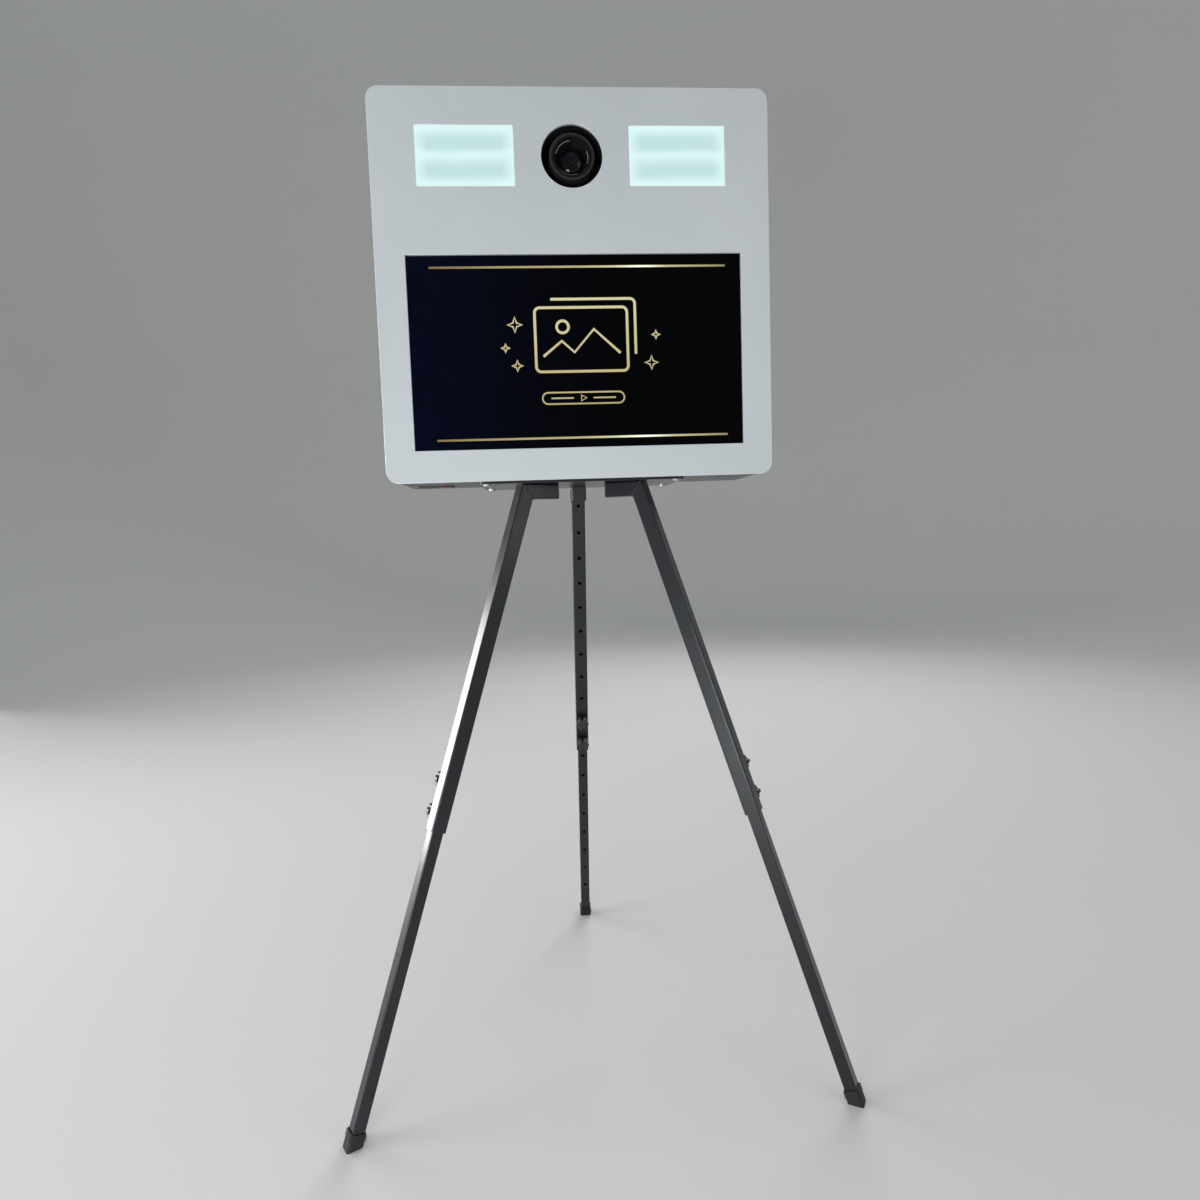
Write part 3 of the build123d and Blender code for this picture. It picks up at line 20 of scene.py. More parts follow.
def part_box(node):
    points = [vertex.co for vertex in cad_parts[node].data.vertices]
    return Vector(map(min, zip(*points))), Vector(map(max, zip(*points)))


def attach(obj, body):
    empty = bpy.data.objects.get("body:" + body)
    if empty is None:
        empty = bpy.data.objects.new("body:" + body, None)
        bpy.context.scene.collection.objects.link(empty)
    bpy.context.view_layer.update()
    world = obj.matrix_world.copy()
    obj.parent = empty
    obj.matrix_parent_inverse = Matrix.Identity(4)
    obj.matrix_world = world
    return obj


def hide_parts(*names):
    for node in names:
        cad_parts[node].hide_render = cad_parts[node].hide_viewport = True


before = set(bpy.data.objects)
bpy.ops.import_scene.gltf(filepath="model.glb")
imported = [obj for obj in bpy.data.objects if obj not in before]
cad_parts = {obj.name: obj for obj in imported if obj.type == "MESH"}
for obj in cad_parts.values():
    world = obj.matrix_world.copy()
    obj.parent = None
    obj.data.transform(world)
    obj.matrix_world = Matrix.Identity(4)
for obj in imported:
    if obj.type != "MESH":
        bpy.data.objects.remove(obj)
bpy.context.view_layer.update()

LOG = logging.getLogger("photo_booth")
MM = 0.001
WINDOW_WIDTH = 0.1518
LAMP_LIP = 0.004
CHIP_DEPTH = 0.0004

Colour = tuple[float, float, float]
Path = Sequence[Vector]
Stops = Sequence[tuple[float, Colour]]


class Body(StrEnum):
    """The bodies that added pieces ride on."""

    STAND = "case_and_stand"
    DOOR = "rear_door"


class Relief(Enum):
    """How the surface of a finish stands up."""

    GRAIN = "fine even grain"
    PEBBLE = "pebbled leather"
    BRUSHED = "fine parallel lines"


# ------------------------------------------------------------------ node trees


class Graph:
    """Adds and wires nodes in one shader or geometry tree."""

    def __init__(self, tree: NodeTree) -> None:
        """Keeps the tree that the nodes go into.

        Args:
            tree: The shader or geometry node tree.
        """
        self.tree = tree

    def add(self, kind: str, inputs: dict[str | int, object] | None = None, **settings: object) -> Node:
        """Adds a node.

        Args:
            kind: The node's type name.
            inputs: Values or source sockets for its inputs, by name or place.
            **settings: Properties set on the node before its inputs.

        Returns:
            The new node.
        """
        node = self.tree.nodes.new(kind)
        for name, value in settings.items():
            setattr(node, name, value)
        for key, value in (inputs or {}).items():
            if isinstance(value, NodeSocket):
                self.tree.links.new(value, node.inputs[key])
            else:
                node.inputs[key].default_value = value
        return node

    def math(self, operation: str, first: object, second: object = 0.0, clamp: bool = False) -> NodeSocket:
        """Gives one arithmetic operation on two values.

        Args:
            operation: The Math node's operation.
            first: The first value or socket.
            second: The second value or socket.
            clamp: Whether the result is kept from 0 to 1.

        Returns:
            The result's socket.
        """
        node = self.add("ShaderNodeMath", {0: first, 1: second}, operation=operation, use_clamp=clamp)
        return node.outputs[0]

    def product(self, first: object, second: object) -> NodeSocket:
        """Multiplies two values."""
        return self.math("MULTIPLY", first, second)

    def difference(self, first: object, second: object) -> NodeSocket:
        """Takes the second value from the first."""
        return self.math("SUBTRACT", first, second)

    def mix(self, share: object, first: object, second: object) -> NodeSocket:
        """Mixes two colours.

        Args:
            share: How much of the second colour shows, from 0 to 1.
            first: The first colour or socket.
            second: The second colour or socket.

        Returns:
            The mixed colour's socket.
        """
        colours = [value if isinstance(value, NodeSocket) else (*value, 1.0) for value in (first, second)]
        node = self.add("ShaderNodeMix", {0: share, 6: colours[0], 7: colours[1]}, data_type="RGBA")
        return node.outputs[2]

    def span(self, value: object, low: object, high: object, to_low: object = 0.0,
             to_high: object = 1.0) -> NodeSocket:
        """Maps a value from one range to another and clamps it.

        Args:
            value: The value or socket.
            low: Where the first range starts.
            high: Where the first range ends.
            to_low: What the start becomes.
            to_high: What the end becomes.

        Returns:
            The mapped value's socket.
        """
        return self.add("ShaderNodeMapRange", {0: value, 1: low, 2: high, 3: to_low, 4: to_high}).outputs[0]

    def noise(self, scale: object, vector: object | None = None, detail: float = 3.0) -> NodeSocket:
        """Gives a smooth noise from 0 to 1 on Object coordinates.

        Args:
            scale: The noise's scale.
            vector: Coordinates to use instead of the plain Object ones.
            detail: How many octaves the noise has.

        Returns:
            The noise value's socket.
        """
        place = vector or self.place()
        return self.add("ShaderNodeTexNoise", {"Vector": place, "Scale": scale, "Detail": detail}).outputs[0]

    def place(self) -> NodeSocket:
        """Gives the Object coordinates."""
        return self.add("ShaderNodeTexCoord").outputs["Object"]

    def axis(self, index: int) -> NodeSocket:
        """Gives one Object coordinate: 0 for X, 1 for Y and 2 for Z."""
        return self.add("ShaderNodeSeparateXYZ", {0: self.place()}).outputs[index]

    def ramp(self, value: object, stops: Stops, smooth: bool = True) -> NodeSocket:
        """Gives a colour along a ramp.

        Args:
            value: Where on the ramp, from 0 to 1.
            stops: Places with their colours, in order.
            smooth: Whether the colours run into each other smoothly.

        Returns:
            The colour's socket.
        """
        node = self.add("ShaderNodeValToRGB", {0: value})
        node.color_ramp.interpolation = "B_SPLINE" if smooth else "LINEAR"
        elements = node.color_ramp.elements
        for element, (where, colour) in zip(elements, (stops[0], stops[-1])):
            element.position = where
            element.color = (*colour, 1.0)
        for where, colour in stops[1:-1]:
            elements.new(where).color = (*colour, 1.0)
        return node.outputs[0]


@dataclass(frozen=True)
class Socket:
    """One input or output of a node group."""

    name: str
    kind: str
    value: object = None


def declare(tree: NodeTree, way: str, sockets: Iterable[Socket]) -> None:
    """Adds named sockets to a node group's interface.

    Args:
        tree: The group's tree.
        way: INPUT or OUTPUT.
        sockets: The sockets to add.
    """
    for socket in sockets:
        made = tree.interface.new_socket(socket.name, in_out=way, socket_type="NodeSocket" + socket.kind)
        if socket.value is not None:
            made.default_value = socket.value


class Effects:
    """Shader node groups that the finishes share, each built once."""

    def __init__(self) -> None:
        """Builds every group."""
        self.tone = self._tone()
        self.grain = self._relief("fine_grain", Relief.GRAIN)
        self.pebble = self._relief("pebbled_grain", Relief.PEBBLE)
        self.brushed = self._relief("brushed_lines", Relief.BRUSHED)
        self.wear = self._wear()
        self.dust = self._dust()
        self.smudge = self._smudge()

    @staticmethod
    def _begin(name: str, inputs: Sequence[Socket], output: Socket) -> tuple[Graph, Node]:
        """Starts a shader group with its sockets and gives its graph and input node."""
        tree = bpy.data.node_groups.new(name, "ShaderNodeTree")
        declare(tree, "INPUT", inputs)
        declare(tree, "OUTPUT", [output])
        graph = Graph(tree)
        return graph, graph.add("NodeGroupInput")

    def _tone(self) -> NodeTree:
        """Cloudy mix of two colours."""
        inputs = [Socket("Light", "Color"), Socket("Dark", "Color"), Socket("Scale", "Float", 8.0)]
        graph, given = self._begin("tone", inputs, Socket("Colour", "Color"))
        share = graph.span(graph.noise(given.outputs["Scale"], detail=5.0), 0.35, 0.65)
        graph.add("NodeGroupOutput", {0: graph.mix(share, given.outputs["Light"], given.outputs["Dark"])})
        return graph.tree

    def _relief(self, name: str, relief: Relief) -> NodeTree:
        """Height of a small repeating relief."""
        graph, given = self._begin(name, [Socket("Scale", "Float", 900.0)], Socket("Height", "Float"))
        if relief is Relief.PEBBLE:
            inputs = {"Vector": graph.place(), "Scale": given.outputs["Scale"]}
            cells = graph.add("ShaderNodeTexVoronoi", inputs, feature="SMOOTH_F1")
            height = graph.difference(1.0, cells.outputs["Distance"])
        elif relief is Relief.BRUSHED:
            stretched = graph.add("ShaderNodeMapping", {"Vector": graph.place(), "Scale": (0.02, 1.0, 1.0)})
            height = graph.noise(given.outputs["Scale"], stretched.outputs[0], 2.0)
        else:
            height = graph.noise(given.outputs["Scale"], detail=2.0)
        graph.add("NodeGroupOutput", {0: height})
        return graph.tree

    def _wear(self) -> NodeTree:
        """Broken-up mask along the edges of a piece."""
        inputs = [Socket("Radius", "Float", 0.0006), Socket("Amount", "Float", 0.5),
                  Socket("Scale", "Float", 60.0)]
        graph, given = self._begin("edge_wear", inputs, Socket("Mask", "Float"))
        rounded = graph.add("ShaderNodeBevel", {"Radius": given.outputs["Radius"]}, samples=4)
        flat = graph.add("ShaderNodeNewGeometry").outputs["Normal"]
        turn = graph.add("ShaderNodeVectorMath", {0: rounded.outputs[0], 1: flat}, operation="DOT_PRODUCT")
        edge = graph.span(graph.difference(1.0, turn.outputs["Value"]), 0.02, 0.2)
        broken = graph.span(graph.noise(given.outputs["Scale"], detail=4.0), 0.45, 0.62)
        mask = graph.product(graph.product(edge, broken), given.outputs["Amount"])
        graph.add("NodeGroupOutput", {0: mask})
        return graph.tree

    def _dust(self) -> NodeTree:
        """Mask of dust that lies on faces turned upwards."""
        inputs = [Socket("Amount", "Float", 0.3), Socket("Scale", "Float", 25.0)]
        graph, given = self._begin("settled_dust", inputs, Socket("Mask", "Float"))
        normal = graph.add("ShaderNodeTexCoord").outputs["Normal"]
        upward = graph.span(graph.add("ShaderNodeSeparateXYZ", {0: normal}).outputs[2], 0.3, 1.0)
        patchy = graph.span(graph.noise(given.outputs["Scale"], detail=6.0), 0.3, 0.7)
        mask = graph.product(graph.product(upward, patchy), given.outputs["Amount"])
        graph.add("NodeGroupOutput", {0: mask})
        return graph.tree

    def _smudge(self) -> NodeTree:
        """Roughness that drifts over a surface, as wiped gloss does."""
        inputs = [Socket("Roughness", "Float", 0.3), Socket("Spread", "Float", 0.08),
                  Socket("Scale", "Float", 14.0)]
        graph, given = self._begin("smudge", inputs, Socket("Roughness", "Float"))
        cloud = graph.span(graph.noise(given.outputs["Scale"], detail=6.0), 0.3, 0.7, -1.0, 1.0)
        drift = graph.product(cloud, given.outputs["Spread"])
        graph.add("NodeGroupOutput", {0: graph.math("ADD", given.outputs["Roughness"], drift, True)})
        return graph.tree


# --------------------------------------------------------------------- finishes


class Sheet:
    """A new material with its graph and its Principled shader."""

    def __init__(self, name: str, effects: Effects) -> None:
        """Makes an empty material.

        Args:
            name: The material's name.
            effects: The shared shader groups.
        """
        self.material = bpy.data.materials.new(name)
        self.material.use_nodes = True
        self.material.node_tree.nodes.clear()
        self.graph = Graph(self.material.node_tree)
        self.effects = effects
        self.shader = self.graph.add("ShaderNodeBsdfPrincipled")
        self.graph.add("ShaderNodeOutputMaterial", {0: self.shader.outputs[0]})

    def feed(self, **inputs: object) -> None:
        """Sets or wires the shader's inputs.

        Args:
            **inputs: Values or sockets, with spaces in input names as underscores.
        """
        for key, value in inputs.items():
            socket = self.shader.inputs[key.replace("_", " ")]
            if isinstance(value, NodeSocket):
                self.graph.tree.links.new(value, socket)
            else:
                socket.default_value = (*value, 1.0) if isinstance(value, tuple) else value

    def group(self, tree: NodeTree, **inputs: object) -> NodeSocket:
        """Places a shared group.

        Args:
            tree: The group's tree.
            **inputs: Values or sockets for its inputs.

        Returns:
            The group's output socket.
        """
        ready = {key: (*value, 1.0) if isinstance(value, tuple) else value for key, value in inputs.items()}
        return self.graph.add("ShaderNodeGroup", ready, node_tree=tree).outputs[0]

    def bump(self, height: NodeSocket, depth: float) -> None:
        """Feeds a height from 0 to 1, which is this many metres deep, to the shader's normal."""
        node = self.graph.add("ShaderNodeBump", {"Height": height, "Distance": depth, "Strength": 1.0})
        self.feed(Normal=node.outputs[0])


DUST: Colour = (0.35, 0.34, 0.32)


@dataclass(frozen=True)
class Surface:
    """An opaque finish: paint, moulded plastic, rubber or metal."""

    name: str
    light: Colour
    dark: Colour
    roughness: float
    spread: float = 0.06
    metallic: float = 0.0
    tone_scale: float = 9.0
    relief: Relief = Relief.GRAIN
    relief_scale: float = 900.0
    relief_depth: float = 0.00002
    wear: float = 0.0
    wear_colour: Colour = (0.28, 0.28, 0.29)
    dust: float = 0.0
    coat: float = 0.0
    coat_roughness: float = 0.04
    specular: float = 0.5
    anisotropic: float = 0.0

    def build(self, effects: Effects) -> Material:
        """Builds the material.

        Args:
            effects: The shared shader groups.

        Returns:
            The finished material.
        """
        sheet = Sheet(self.name, effects)
        colour = sheet.group(effects.tone, Light=self.light, Dark=self.dark, Scale=self.tone_scale)
        if self.wear:
            mask = sheet.group(effects.wear, Amount=self.wear)
            colour = sheet.graph.mix(mask, colour, self.wear_colour)
        if self.dust:
            mask = sheet.group(effects.dust, Amount=self.dust)
            colour = sheet.graph.mix(mask, colour, DUST)
        sheet.feed(Base_Color=colour, Metallic=self.metallic, Coat_Weight=self.coat,
                   Coat_Roughness=self.coat_roughness, Specular_IOR_Level=self.specular,
                   Anisotropic=self.anisotropic)
        sheet.feed(Roughness=sheet.group(effects.smudge, Roughness=self.roughness, Spread=self.spread,
                                         Scale=self.tone_scale))
        trees = {Relief.GRAIN: effects.grain, Relief.PEBBLE: effects.pebble, Relief.BRUSHED: effects.brushed}
        sheet.bump(sheet.group(trees[self.relief], Scale=self.relief_scale), self.relief_depth)
        return sheet.material


@dataclass(frozen=True)
class LitOpal:
    """Opal plastic lit from behind by rows of diodes, which show as soft bands."""

    name: str
    bottom: float
    height: float
    window_middle: float
    window_half_width: float
    bright: Colour = (0.74, 0.97, 0.96)
    dim: Colour = (0.53, 0.755, 0.76)
    bands: tuple[tuple[float, ...], ...] = ((0.07, 0.18, 0.35, 0.48), (0.54, 0.63, 0.80, 0.92))
    cloud_scale: float = 11.0
    cloud_share: float = 0.10
    edge: tuple[float, float] = (0.74, 1.02)

    def build(self, effects: Effects) -> Material:
        """Builds the material; Args and Returns as for Surface.build."""
        sheet = Sheet(self.name, effects)
        graph = sheet.graph
        wobble = graph.product(graph.difference(graph.noise(self.cloud_scale), 0.5), self.cloud_share)
        up = graph.math("ADD", graph.span(graph.axis(2), self.bottom, self.bottom + self.height), wobble)
        stops = [(0.0, self.bright)]
        for start, dim_start, dim_end, end in self.bands:
            stops += [(start, self.bright), (dim_start, self.dim), (dim_end, self.dim), (end, self.bright)]
        glow = graph.ramp(up, [*stops, (1.0, self.bright)])
        aside = graph.difference(graph.math("ABSOLUTE", graph.axis(0)), self.window_middle)
        share = graph.math("DIVIDE", graph.math("ABSOLUTE", aside), self.window_half_width)
        glow = graph.mix(graph.span(share, *self.edge), glow, self.bright)
        sheet.feed(Base_Color=(0.035, 0.04, 0.04), Emission_Color=glow, Emission_Strength=0.93)
        sheet.feed(Roughness=sheet.group(effects.smudge, Roughness=0.3, Spread=0.05, Scale=20.0))
        sheet.bump(sheet.group(effects.grain, Scale=500.0), 0.00001)
        return sheet.material


@dataclass(frozen=True)
class DarkDisplay:
    """Touch glass over a display that shows a nearly black picture."""

    name: str
    left: float
    right: float
    navy: Colour = (0.0006, 0.0013, 0.0068)
    black: Colour = (0.0001, 0.0001, 0.0003)

    def build(self, effects: Effects) -> Material:
        """Builds the material; Args and Returns as for Surface.build."""
        sheet = Sheet(self.name, effects)
        graph = sheet.graph
        across = graph.span(graph.axis(0), self.left, self.right)
        cloud = graph.product(graph.noise(6.0), 0.25)
        stops = [(0.1, self.navy), (0.55, self.black), (1.0, self.black)]
        shade = graph.ramp(graph.math("ADD", across, cloud), stops)
        sheet.feed(Base_Color=shade, Emission_Color=shade, Emission_Strength=0.8, Specular_IOR_Level=0.07)
        sheet.feed(Roughness=sheet.group(effects.smudge, Roughness=0.10, Spread=0.03, Scale=22.0))
        sheet.bump(sheet.group(effects.grain, Scale=40.0), 0.000002)
        return sheet.material


class InkRun(Enum):
    """Which way a gold ink runs through its colours."""

    ACROSS = 0
    UP = 2


@dataclass(frozen=True)
class GoldInk:
    """Gold of the start picture, which runs through its colours along one axis."""

    name: str
    run: InkRun
    start: float
    end: float
    stops: tuple[tuple[float, Colour], ...]

    def build(self, effects: Effects) -> Material:
        """Builds the material; Args and Returns as for Surface.build."""
        sheet = Sheet(self.name, effects)
        along = sheet.graph.span(sheet.graph.axis(self.run.value), self.start, self.end)
        drift = sheet.graph.product(sheet.graph.difference(sheet.graph.noise(9.0), 0.5), 0.10)
        gold = sheet.graph.ramp(sheet.graph.math("ADD", along, drift), self.stops, smooth=False)
        sheet.feed(Base_Color=gold, Emission_Color=gold, Emission_Strength=0.72, Specular_IOR_Level=0.1)
        sheet.feed(Roughness=sheet.group(effects.smudge, Roughness=0.2, Spread=0.04, Scale=22.0))
        return sheet.material


RULE_GOLD = ((0.0, (0.085, 0.058, 0.026)), (0.28, (0.26, 0.20, 0.09)), (0.5, (0.32, 0.27, 0.14)),
             (0.62, (0.42, 0.40, 0.25)), (0.70, (0.72, 0.78, 0.64)), (0.78, (0.36, 0.33, 0.19)),
             (1.0, (0.115, 0.085, 0.042)))
PICTURE_GOLD = ((0.0, (0.20, 0.155, 0.07)), (0.45, (0.36, 0.31, 0.16)), (1.0, (0.47, 0.44, 0.29)))


# Painted reflections: the brighter rings stand in for light reflected by the lens elements behind the front
# glass.
PAINTED_RING_REFLECTIONS = ((0.0, (0.001, 0.001, 0.001)), (0.22, (0.001, 0.001, 0.002)), (0.27, (0.012, 0.012, 0.014)),
              (0.32, (0.001, 0.001, 0.002)), (0.5, (0.001, 0.001, 0.003)), (0.55, (0.007, 0.007, 0.009)),
              (0.6, (0.001, 0.001, 0.002)), (0.8, (0.002, 0.002, 0.003)), (0.84, (0.012, 0.012, 0.014)),
              (0.9, (0.002, 0.002, 0.002)), (1.0, (0.004, 0.004, 0.004)))


@dataclass(frozen=True)
class CoatedLens:
    """Front element of a lens: dark glass under a tinted coating, with painted reflections: brighter rings
    for the elements behind it, and the coating's tint where the glass is seen at a grazing angle.
    """

    name: str
    centre: tuple[float, float, float]
    radius: float
    # Painted reflection: the coating's tint, mixed into the base colour where the glass is seen at a grazing
    # angle.
    coating_reflection_tint: Colour = (0.008, 0.006, 0.012)

    def build(self, effects: Effects) -> Material:
        """Builds the material; Args and Returns as for Surface.build."""
        sheet = Sheet(self.name, effects)
        graph = sheet.graph
        inputs = {"Vector": graph.place(), "Location": self.centre}
        centred = graph.add("ShaderNodeMapping", inputs, vector_type="TEXTURE").outputs[0]
        level = graph.add("ShaderNodeVectorMath", {0: centred, 1: (1.0, 0.0, 1.0)}, operation="MULTIPLY")
        away = graph.add("ShaderNodeVectorMath", {0: level.outputs[0]}, operation="LENGTH").outputs["Value"]
        share = graph.math("DIVIDE", away, self.radius)
        # Painted reflections: brighter rings in the base colour where the elements behind the glass would
        # reflect light.
        ring_reflections = graph.ramp(share, PAINTED_RING_REFLECTIONS, smooth=False)
        # Painted reflection of the coating: its tint grows in the base colour towards grazing angles.
        coating_reflection_share = graph.add("ShaderNodeLayerWeight", {"Blend": 0.35}).outputs["Facing"]
        sheet.feed(Base_Color=graph.mix(coating_reflection_share, ring_reflections, self.coating_reflection_tint), Coat_Weight=0.2, Coat_Roughness=0.05,
                   Coat_Tint=(0.8, 0.85, 1.0), Specular_IOR_Level=0.15)
        sheet.feed(Roughness=sheet.group(effects.smudge, Roughness=0.05, Spread=0.02, Scale=60.0))
        return sheet.material


@dataclass(frozen=True)
class PrintedBoard:
    """Circuit board: solder resist over fine tracks, with bright pads."""

    name: str
    resist: Colour = (0.012, 0.085, 0.040)
    track: Colour = (0.03, 0.19, 0.09)
    pad: Colour = (0.55, 0.47, 0.30)
    track_scale: float = 150.0
    pad_scale: float = 320.0
    pad_size: float = 0.2

    def build(self, effects: Effects) -> Material:
        """Builds the material; Args and Returns as for Surface.build."""
        sheet = Sheet(self.name, effects)
        graph = sheet.graph
        place = graph.place()
        tracks = graph.add("ShaderNodeTexVoronoi", {"Vector": place, "Scale": self.track_scale},
                           distance="CHEBYCHEV")
        lines = graph.span(tracks.outputs["Distance"], 0.42, 0.5)
        pads = graph.add("ShaderNodeTexVoronoi", {"Vector": place, "Scale": self.pad_scale})
        dots = graph.math("LESS_THAN", pads.outputs["Distance"], self.pad_size)
        sheet.feed(Base_Color=graph.mix(dots, graph.mix(lines, self.resist, self.track), self.pad))
        sheet.feed(Roughness=sheet.group(effects.smudge, Roughness=0.3, Spread=0.08, Scale=30.0))
        sheet.bump(lines, 0.00003)
        return sheet.material


@dataclass(frozen=True)
class LitBoard:
    """White board of a diode strip; its raised chips glow."""

    name: str
    chip_front: float

    def build(self, effects: Effects) -> Material:
        """Builds the material; Args and Returns as for Surface.build."""
        sheet = Sheet(self.name, effects)
        chip = sheet.graph.math("LESS_THAN", sheet.graph.axis(1), self.chip_front)
        base = sheet.group(effects.tone, Light=(0.85, 0.86, 0.84), Dark=(0.75, 0.76, 0.73), Scale=60.0)
        sheet.feed(Base_Color=base, Roughness=sheet.group(effects.smudge, Roughness=0.4, Scale=30.0))
        glow = sheet.graph.mix(chip, (0.02, 0.02, 0.02), (0.9, 1.0, 0.98))
        sheet.feed(Emission_Color=glow, Emission_Strength=3.0)
        return sheet.material


def black_surfaces() -> list[Surface]:
    """Gives the black finishes: paints, plastics and rubber."""
    return [
        Surface("case_paint", (0.022, 0.023, 0.026), (0.016, 0.017, 0.020), 0.36, relief_scale=700.0,
                relief_depth=0.00004, wear=0.35, dust=0.08),
        Surface("leg_paint", (0.010, 0.0115, 0.015), (0.006, 0.007, 0.010), 0.30, relief_scale=650.0,
                relief_depth=0.000022, wear=0.45, dust=0.03, coat=0.3, coat_roughness=0.14, specular=0.35),
        Surface("plastic_black", (0.020, 0.020, 0.022), (0.014, 0.014, 0.015), 0.42, relief_scale=1400.0,
                relief_depth=0.00003, dust=0.05),
        Surface("rubber_black", (0.019, 0.019, 0.020), (0.013, 0.013, 0.013), 0.62, relief_scale=1100.0,
                relief_depth=0.00004, dust=0.14, specular=0.35),
        Surface("lens_black", (0.0045, 0.0045, 0.005), (0.003, 0.003, 0.0035), 0.4, relief_scale=1500.0,
                relief_depth=0.00001, wear=0.15, specular=0.22),
        Surface("camera_black", (0.016, 0.016, 0.017), (0.011, 0.011, 0.012), 0.5, relief=Relief.PEBBLE,
                relief_scale=650.0, relief_depth=0.00012, dust=0.04),
        Surface("display_black", (0.012, 0.012, 0.014), (0.008, 0.008, 0.010), 0.3, relief_scale=800.0,
                relief_depth=0.00001),
    ]


def bright_surfaces() -> list[Surface]:
    """Gives the white, coloured and bare metal finishes."""
    return [
        Surface("panel_gloss", (0.60, 0.63, 0.65), (0.555, 0.585, 0.61), 0.16, spread=0.05, tone_scale=3.2,
                relief_scale=75.0, relief_depth=0.000012, coat=1.0, coat_roughness=0.03, dust=0.03),
        Surface("white_paint", (0.84, 0.85, 0.85), (0.76, 0.77, 0.77), 0.45, relief_scale=700.0,
                relief_depth=0.00003),
        Surface("plastic_red", (0.48, 0.018, 0.016), (0.36, 0.012, 0.011), 0.3, relief_scale=1200.0),
        Surface("aluminium", (0.71, 0.72, 0.73), (0.60, 0.61, 0.63), 0.34, metallic=1.0,
                relief=Relief.BRUSHED, relief_scale=2600.0, relief_depth=0.00002, anisotropic=0.5),
        Surface("zinc_steel", (0.58, 0.585, 0.58), (0.52, 0.53, 0.535), 0.36, spread=0.05, metallic=1.0,
                tone_scale=45.0, relief_scale=1800.0, relief_depth=0.000015),
        Surface("chrome", (0.80, 0.80, 0.82), (0.74, 0.75, 0.77), 0.08, spread=0.03, metallic=1.0,
                relief_scale=500.0, relief_depth=0.000002),
        Surface("mark_white", (0.62, 0.62, 0.62), (0.45, 0.45, 0.46), 0.5, relief_scale=1500.0),
    ]


class Finishes:
    """Every finish of the booth by its name, built once."""

    def __init__(self) -> None:
        """Builds the shared groups and all the materials."""
        effects = Effects()
        lamp_low, lamp_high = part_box("diffusers")
        glass_low, glass_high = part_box("touch_glass")
        lens_low, lens_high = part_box("lens_glass")
        strip_low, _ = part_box("led_strips")
        made = black_surfaces() + bright_surfaces()
        made += [
            LitOpal("opal_lit", lamp_low.z + LAMP_LIP, lamp_high.z - lamp_low.z - 2 * LAMP_LIP,
                    lamp_high.x - LAMP_LIP - WINDOW_WIDTH / 2, WINDOW_WIDTH / 2),
            DarkDisplay("screen_glass", glass_low.x, glass_high.x),
            GoldInk("rule_gold", InkRun.ACROSS, glass_low.x, glass_high.x, RULE_GOLD),
            GoldInk("picture_gold", InkRun.UP, glass_low.z, glass_high.z, PICTURE_GOLD),
            CoatedLens("lens_glass", tuple((lens_low + lens_high) / 2), (lens_high.x - lens_low.x) / 2),
            PrintedBoard("circuit_board"),
            LitBoard("led_board", strip_low.y + CHIP_DEPTH),
        ]
        self.materials = {finish.name: finish.build(effects) for finish in made}

    def __getitem__(self, name: str) -> Material:
        """Gives the material with this name."""
        return self.materials[name]


# --------------------------------------------------------------- geometry nodes


class ShapeTree:
    """A Geometry Nodes tree with named inputs that is run once per piece."""

    def __init__(self, name: str, inputs: Sequence[Socket]) -> None:
        """Starts the tree.

        Args:
            name: The tree's name.
            inputs: Its sizes and options; Geometry and Material are added.
        """
        self.tree = bpy.data.node_groups.new(name, "GeometryNodeTree")
        self.tree.is_modifier = True
        declare(self.tree, "INPUT", [Socket("Geometry", "Geometry"), *inputs, Socket("Material", "Material")])
        declare(self.tree, "OUTPUT", [Socket("Geometry", "Geometry")])
        self.graph = Graph(self.tree)
        self.given = self.graph.add("NodeGroupInput").outputs

    def close(self, geometry: NodeSocket, smooth: bool = True) -> None:
        """Ends the tree: instances made real, shading and material set.

        Args:
            geometry: What the tree has made.
            smooth: Whether its faces are shaded smooth.
        """
        real = self.graph.add("GeometryNodeRealizeInstances", {"Geometry": geometry})
        shaded = self.graph.add("GeometryNodeSetShadeSmooth",
                                {"Geometry": real.outputs[0], "Shade Smooth": smooth})
        coloured = self.graph.add("GeometryNodeSetMaterial",
                                  {"Geometry": shaded.outputs[0], "Material": self.given["Material"]})
        self.graph.add("NodeGroupOutput", {0: coloured.outputs[0]})

    def run(self, name: str, base: Mesh, material: Material, **values: object) -> Object:
        """Runs the tree on a mesh and keeps the result as a plain mesh.

        Args:
            name: The new piece's name.
            base: The mesh that the tree starts from.
            material: The piece's material.
            **values: Values for the tree's named inputs.

        Returns:
            The new piece, with no modifier.
        """
        carrier = bpy.data.objects.new(name + "_carrier", base)
        bpy.context.scene.collection.objects.link(carrier)
        modifier = carrier.modifiers.new("shape", "NODES")
        modifier.node_group = self.tree
        values["Material"] = material
        for item in self.tree.interface.items_tree:
            if item.in_out == "INPUT" and item.name in values:
                modifier[item.identifier] = values[item.name]
        seen = carrier.evaluated_get(bpy.context.evaluated_depsgraph_get())
        mesh = bpy.data.meshes.new_from_object(seen)
        bpy.data.objects.remove(carrier)
        return new_piece(name, mesh)


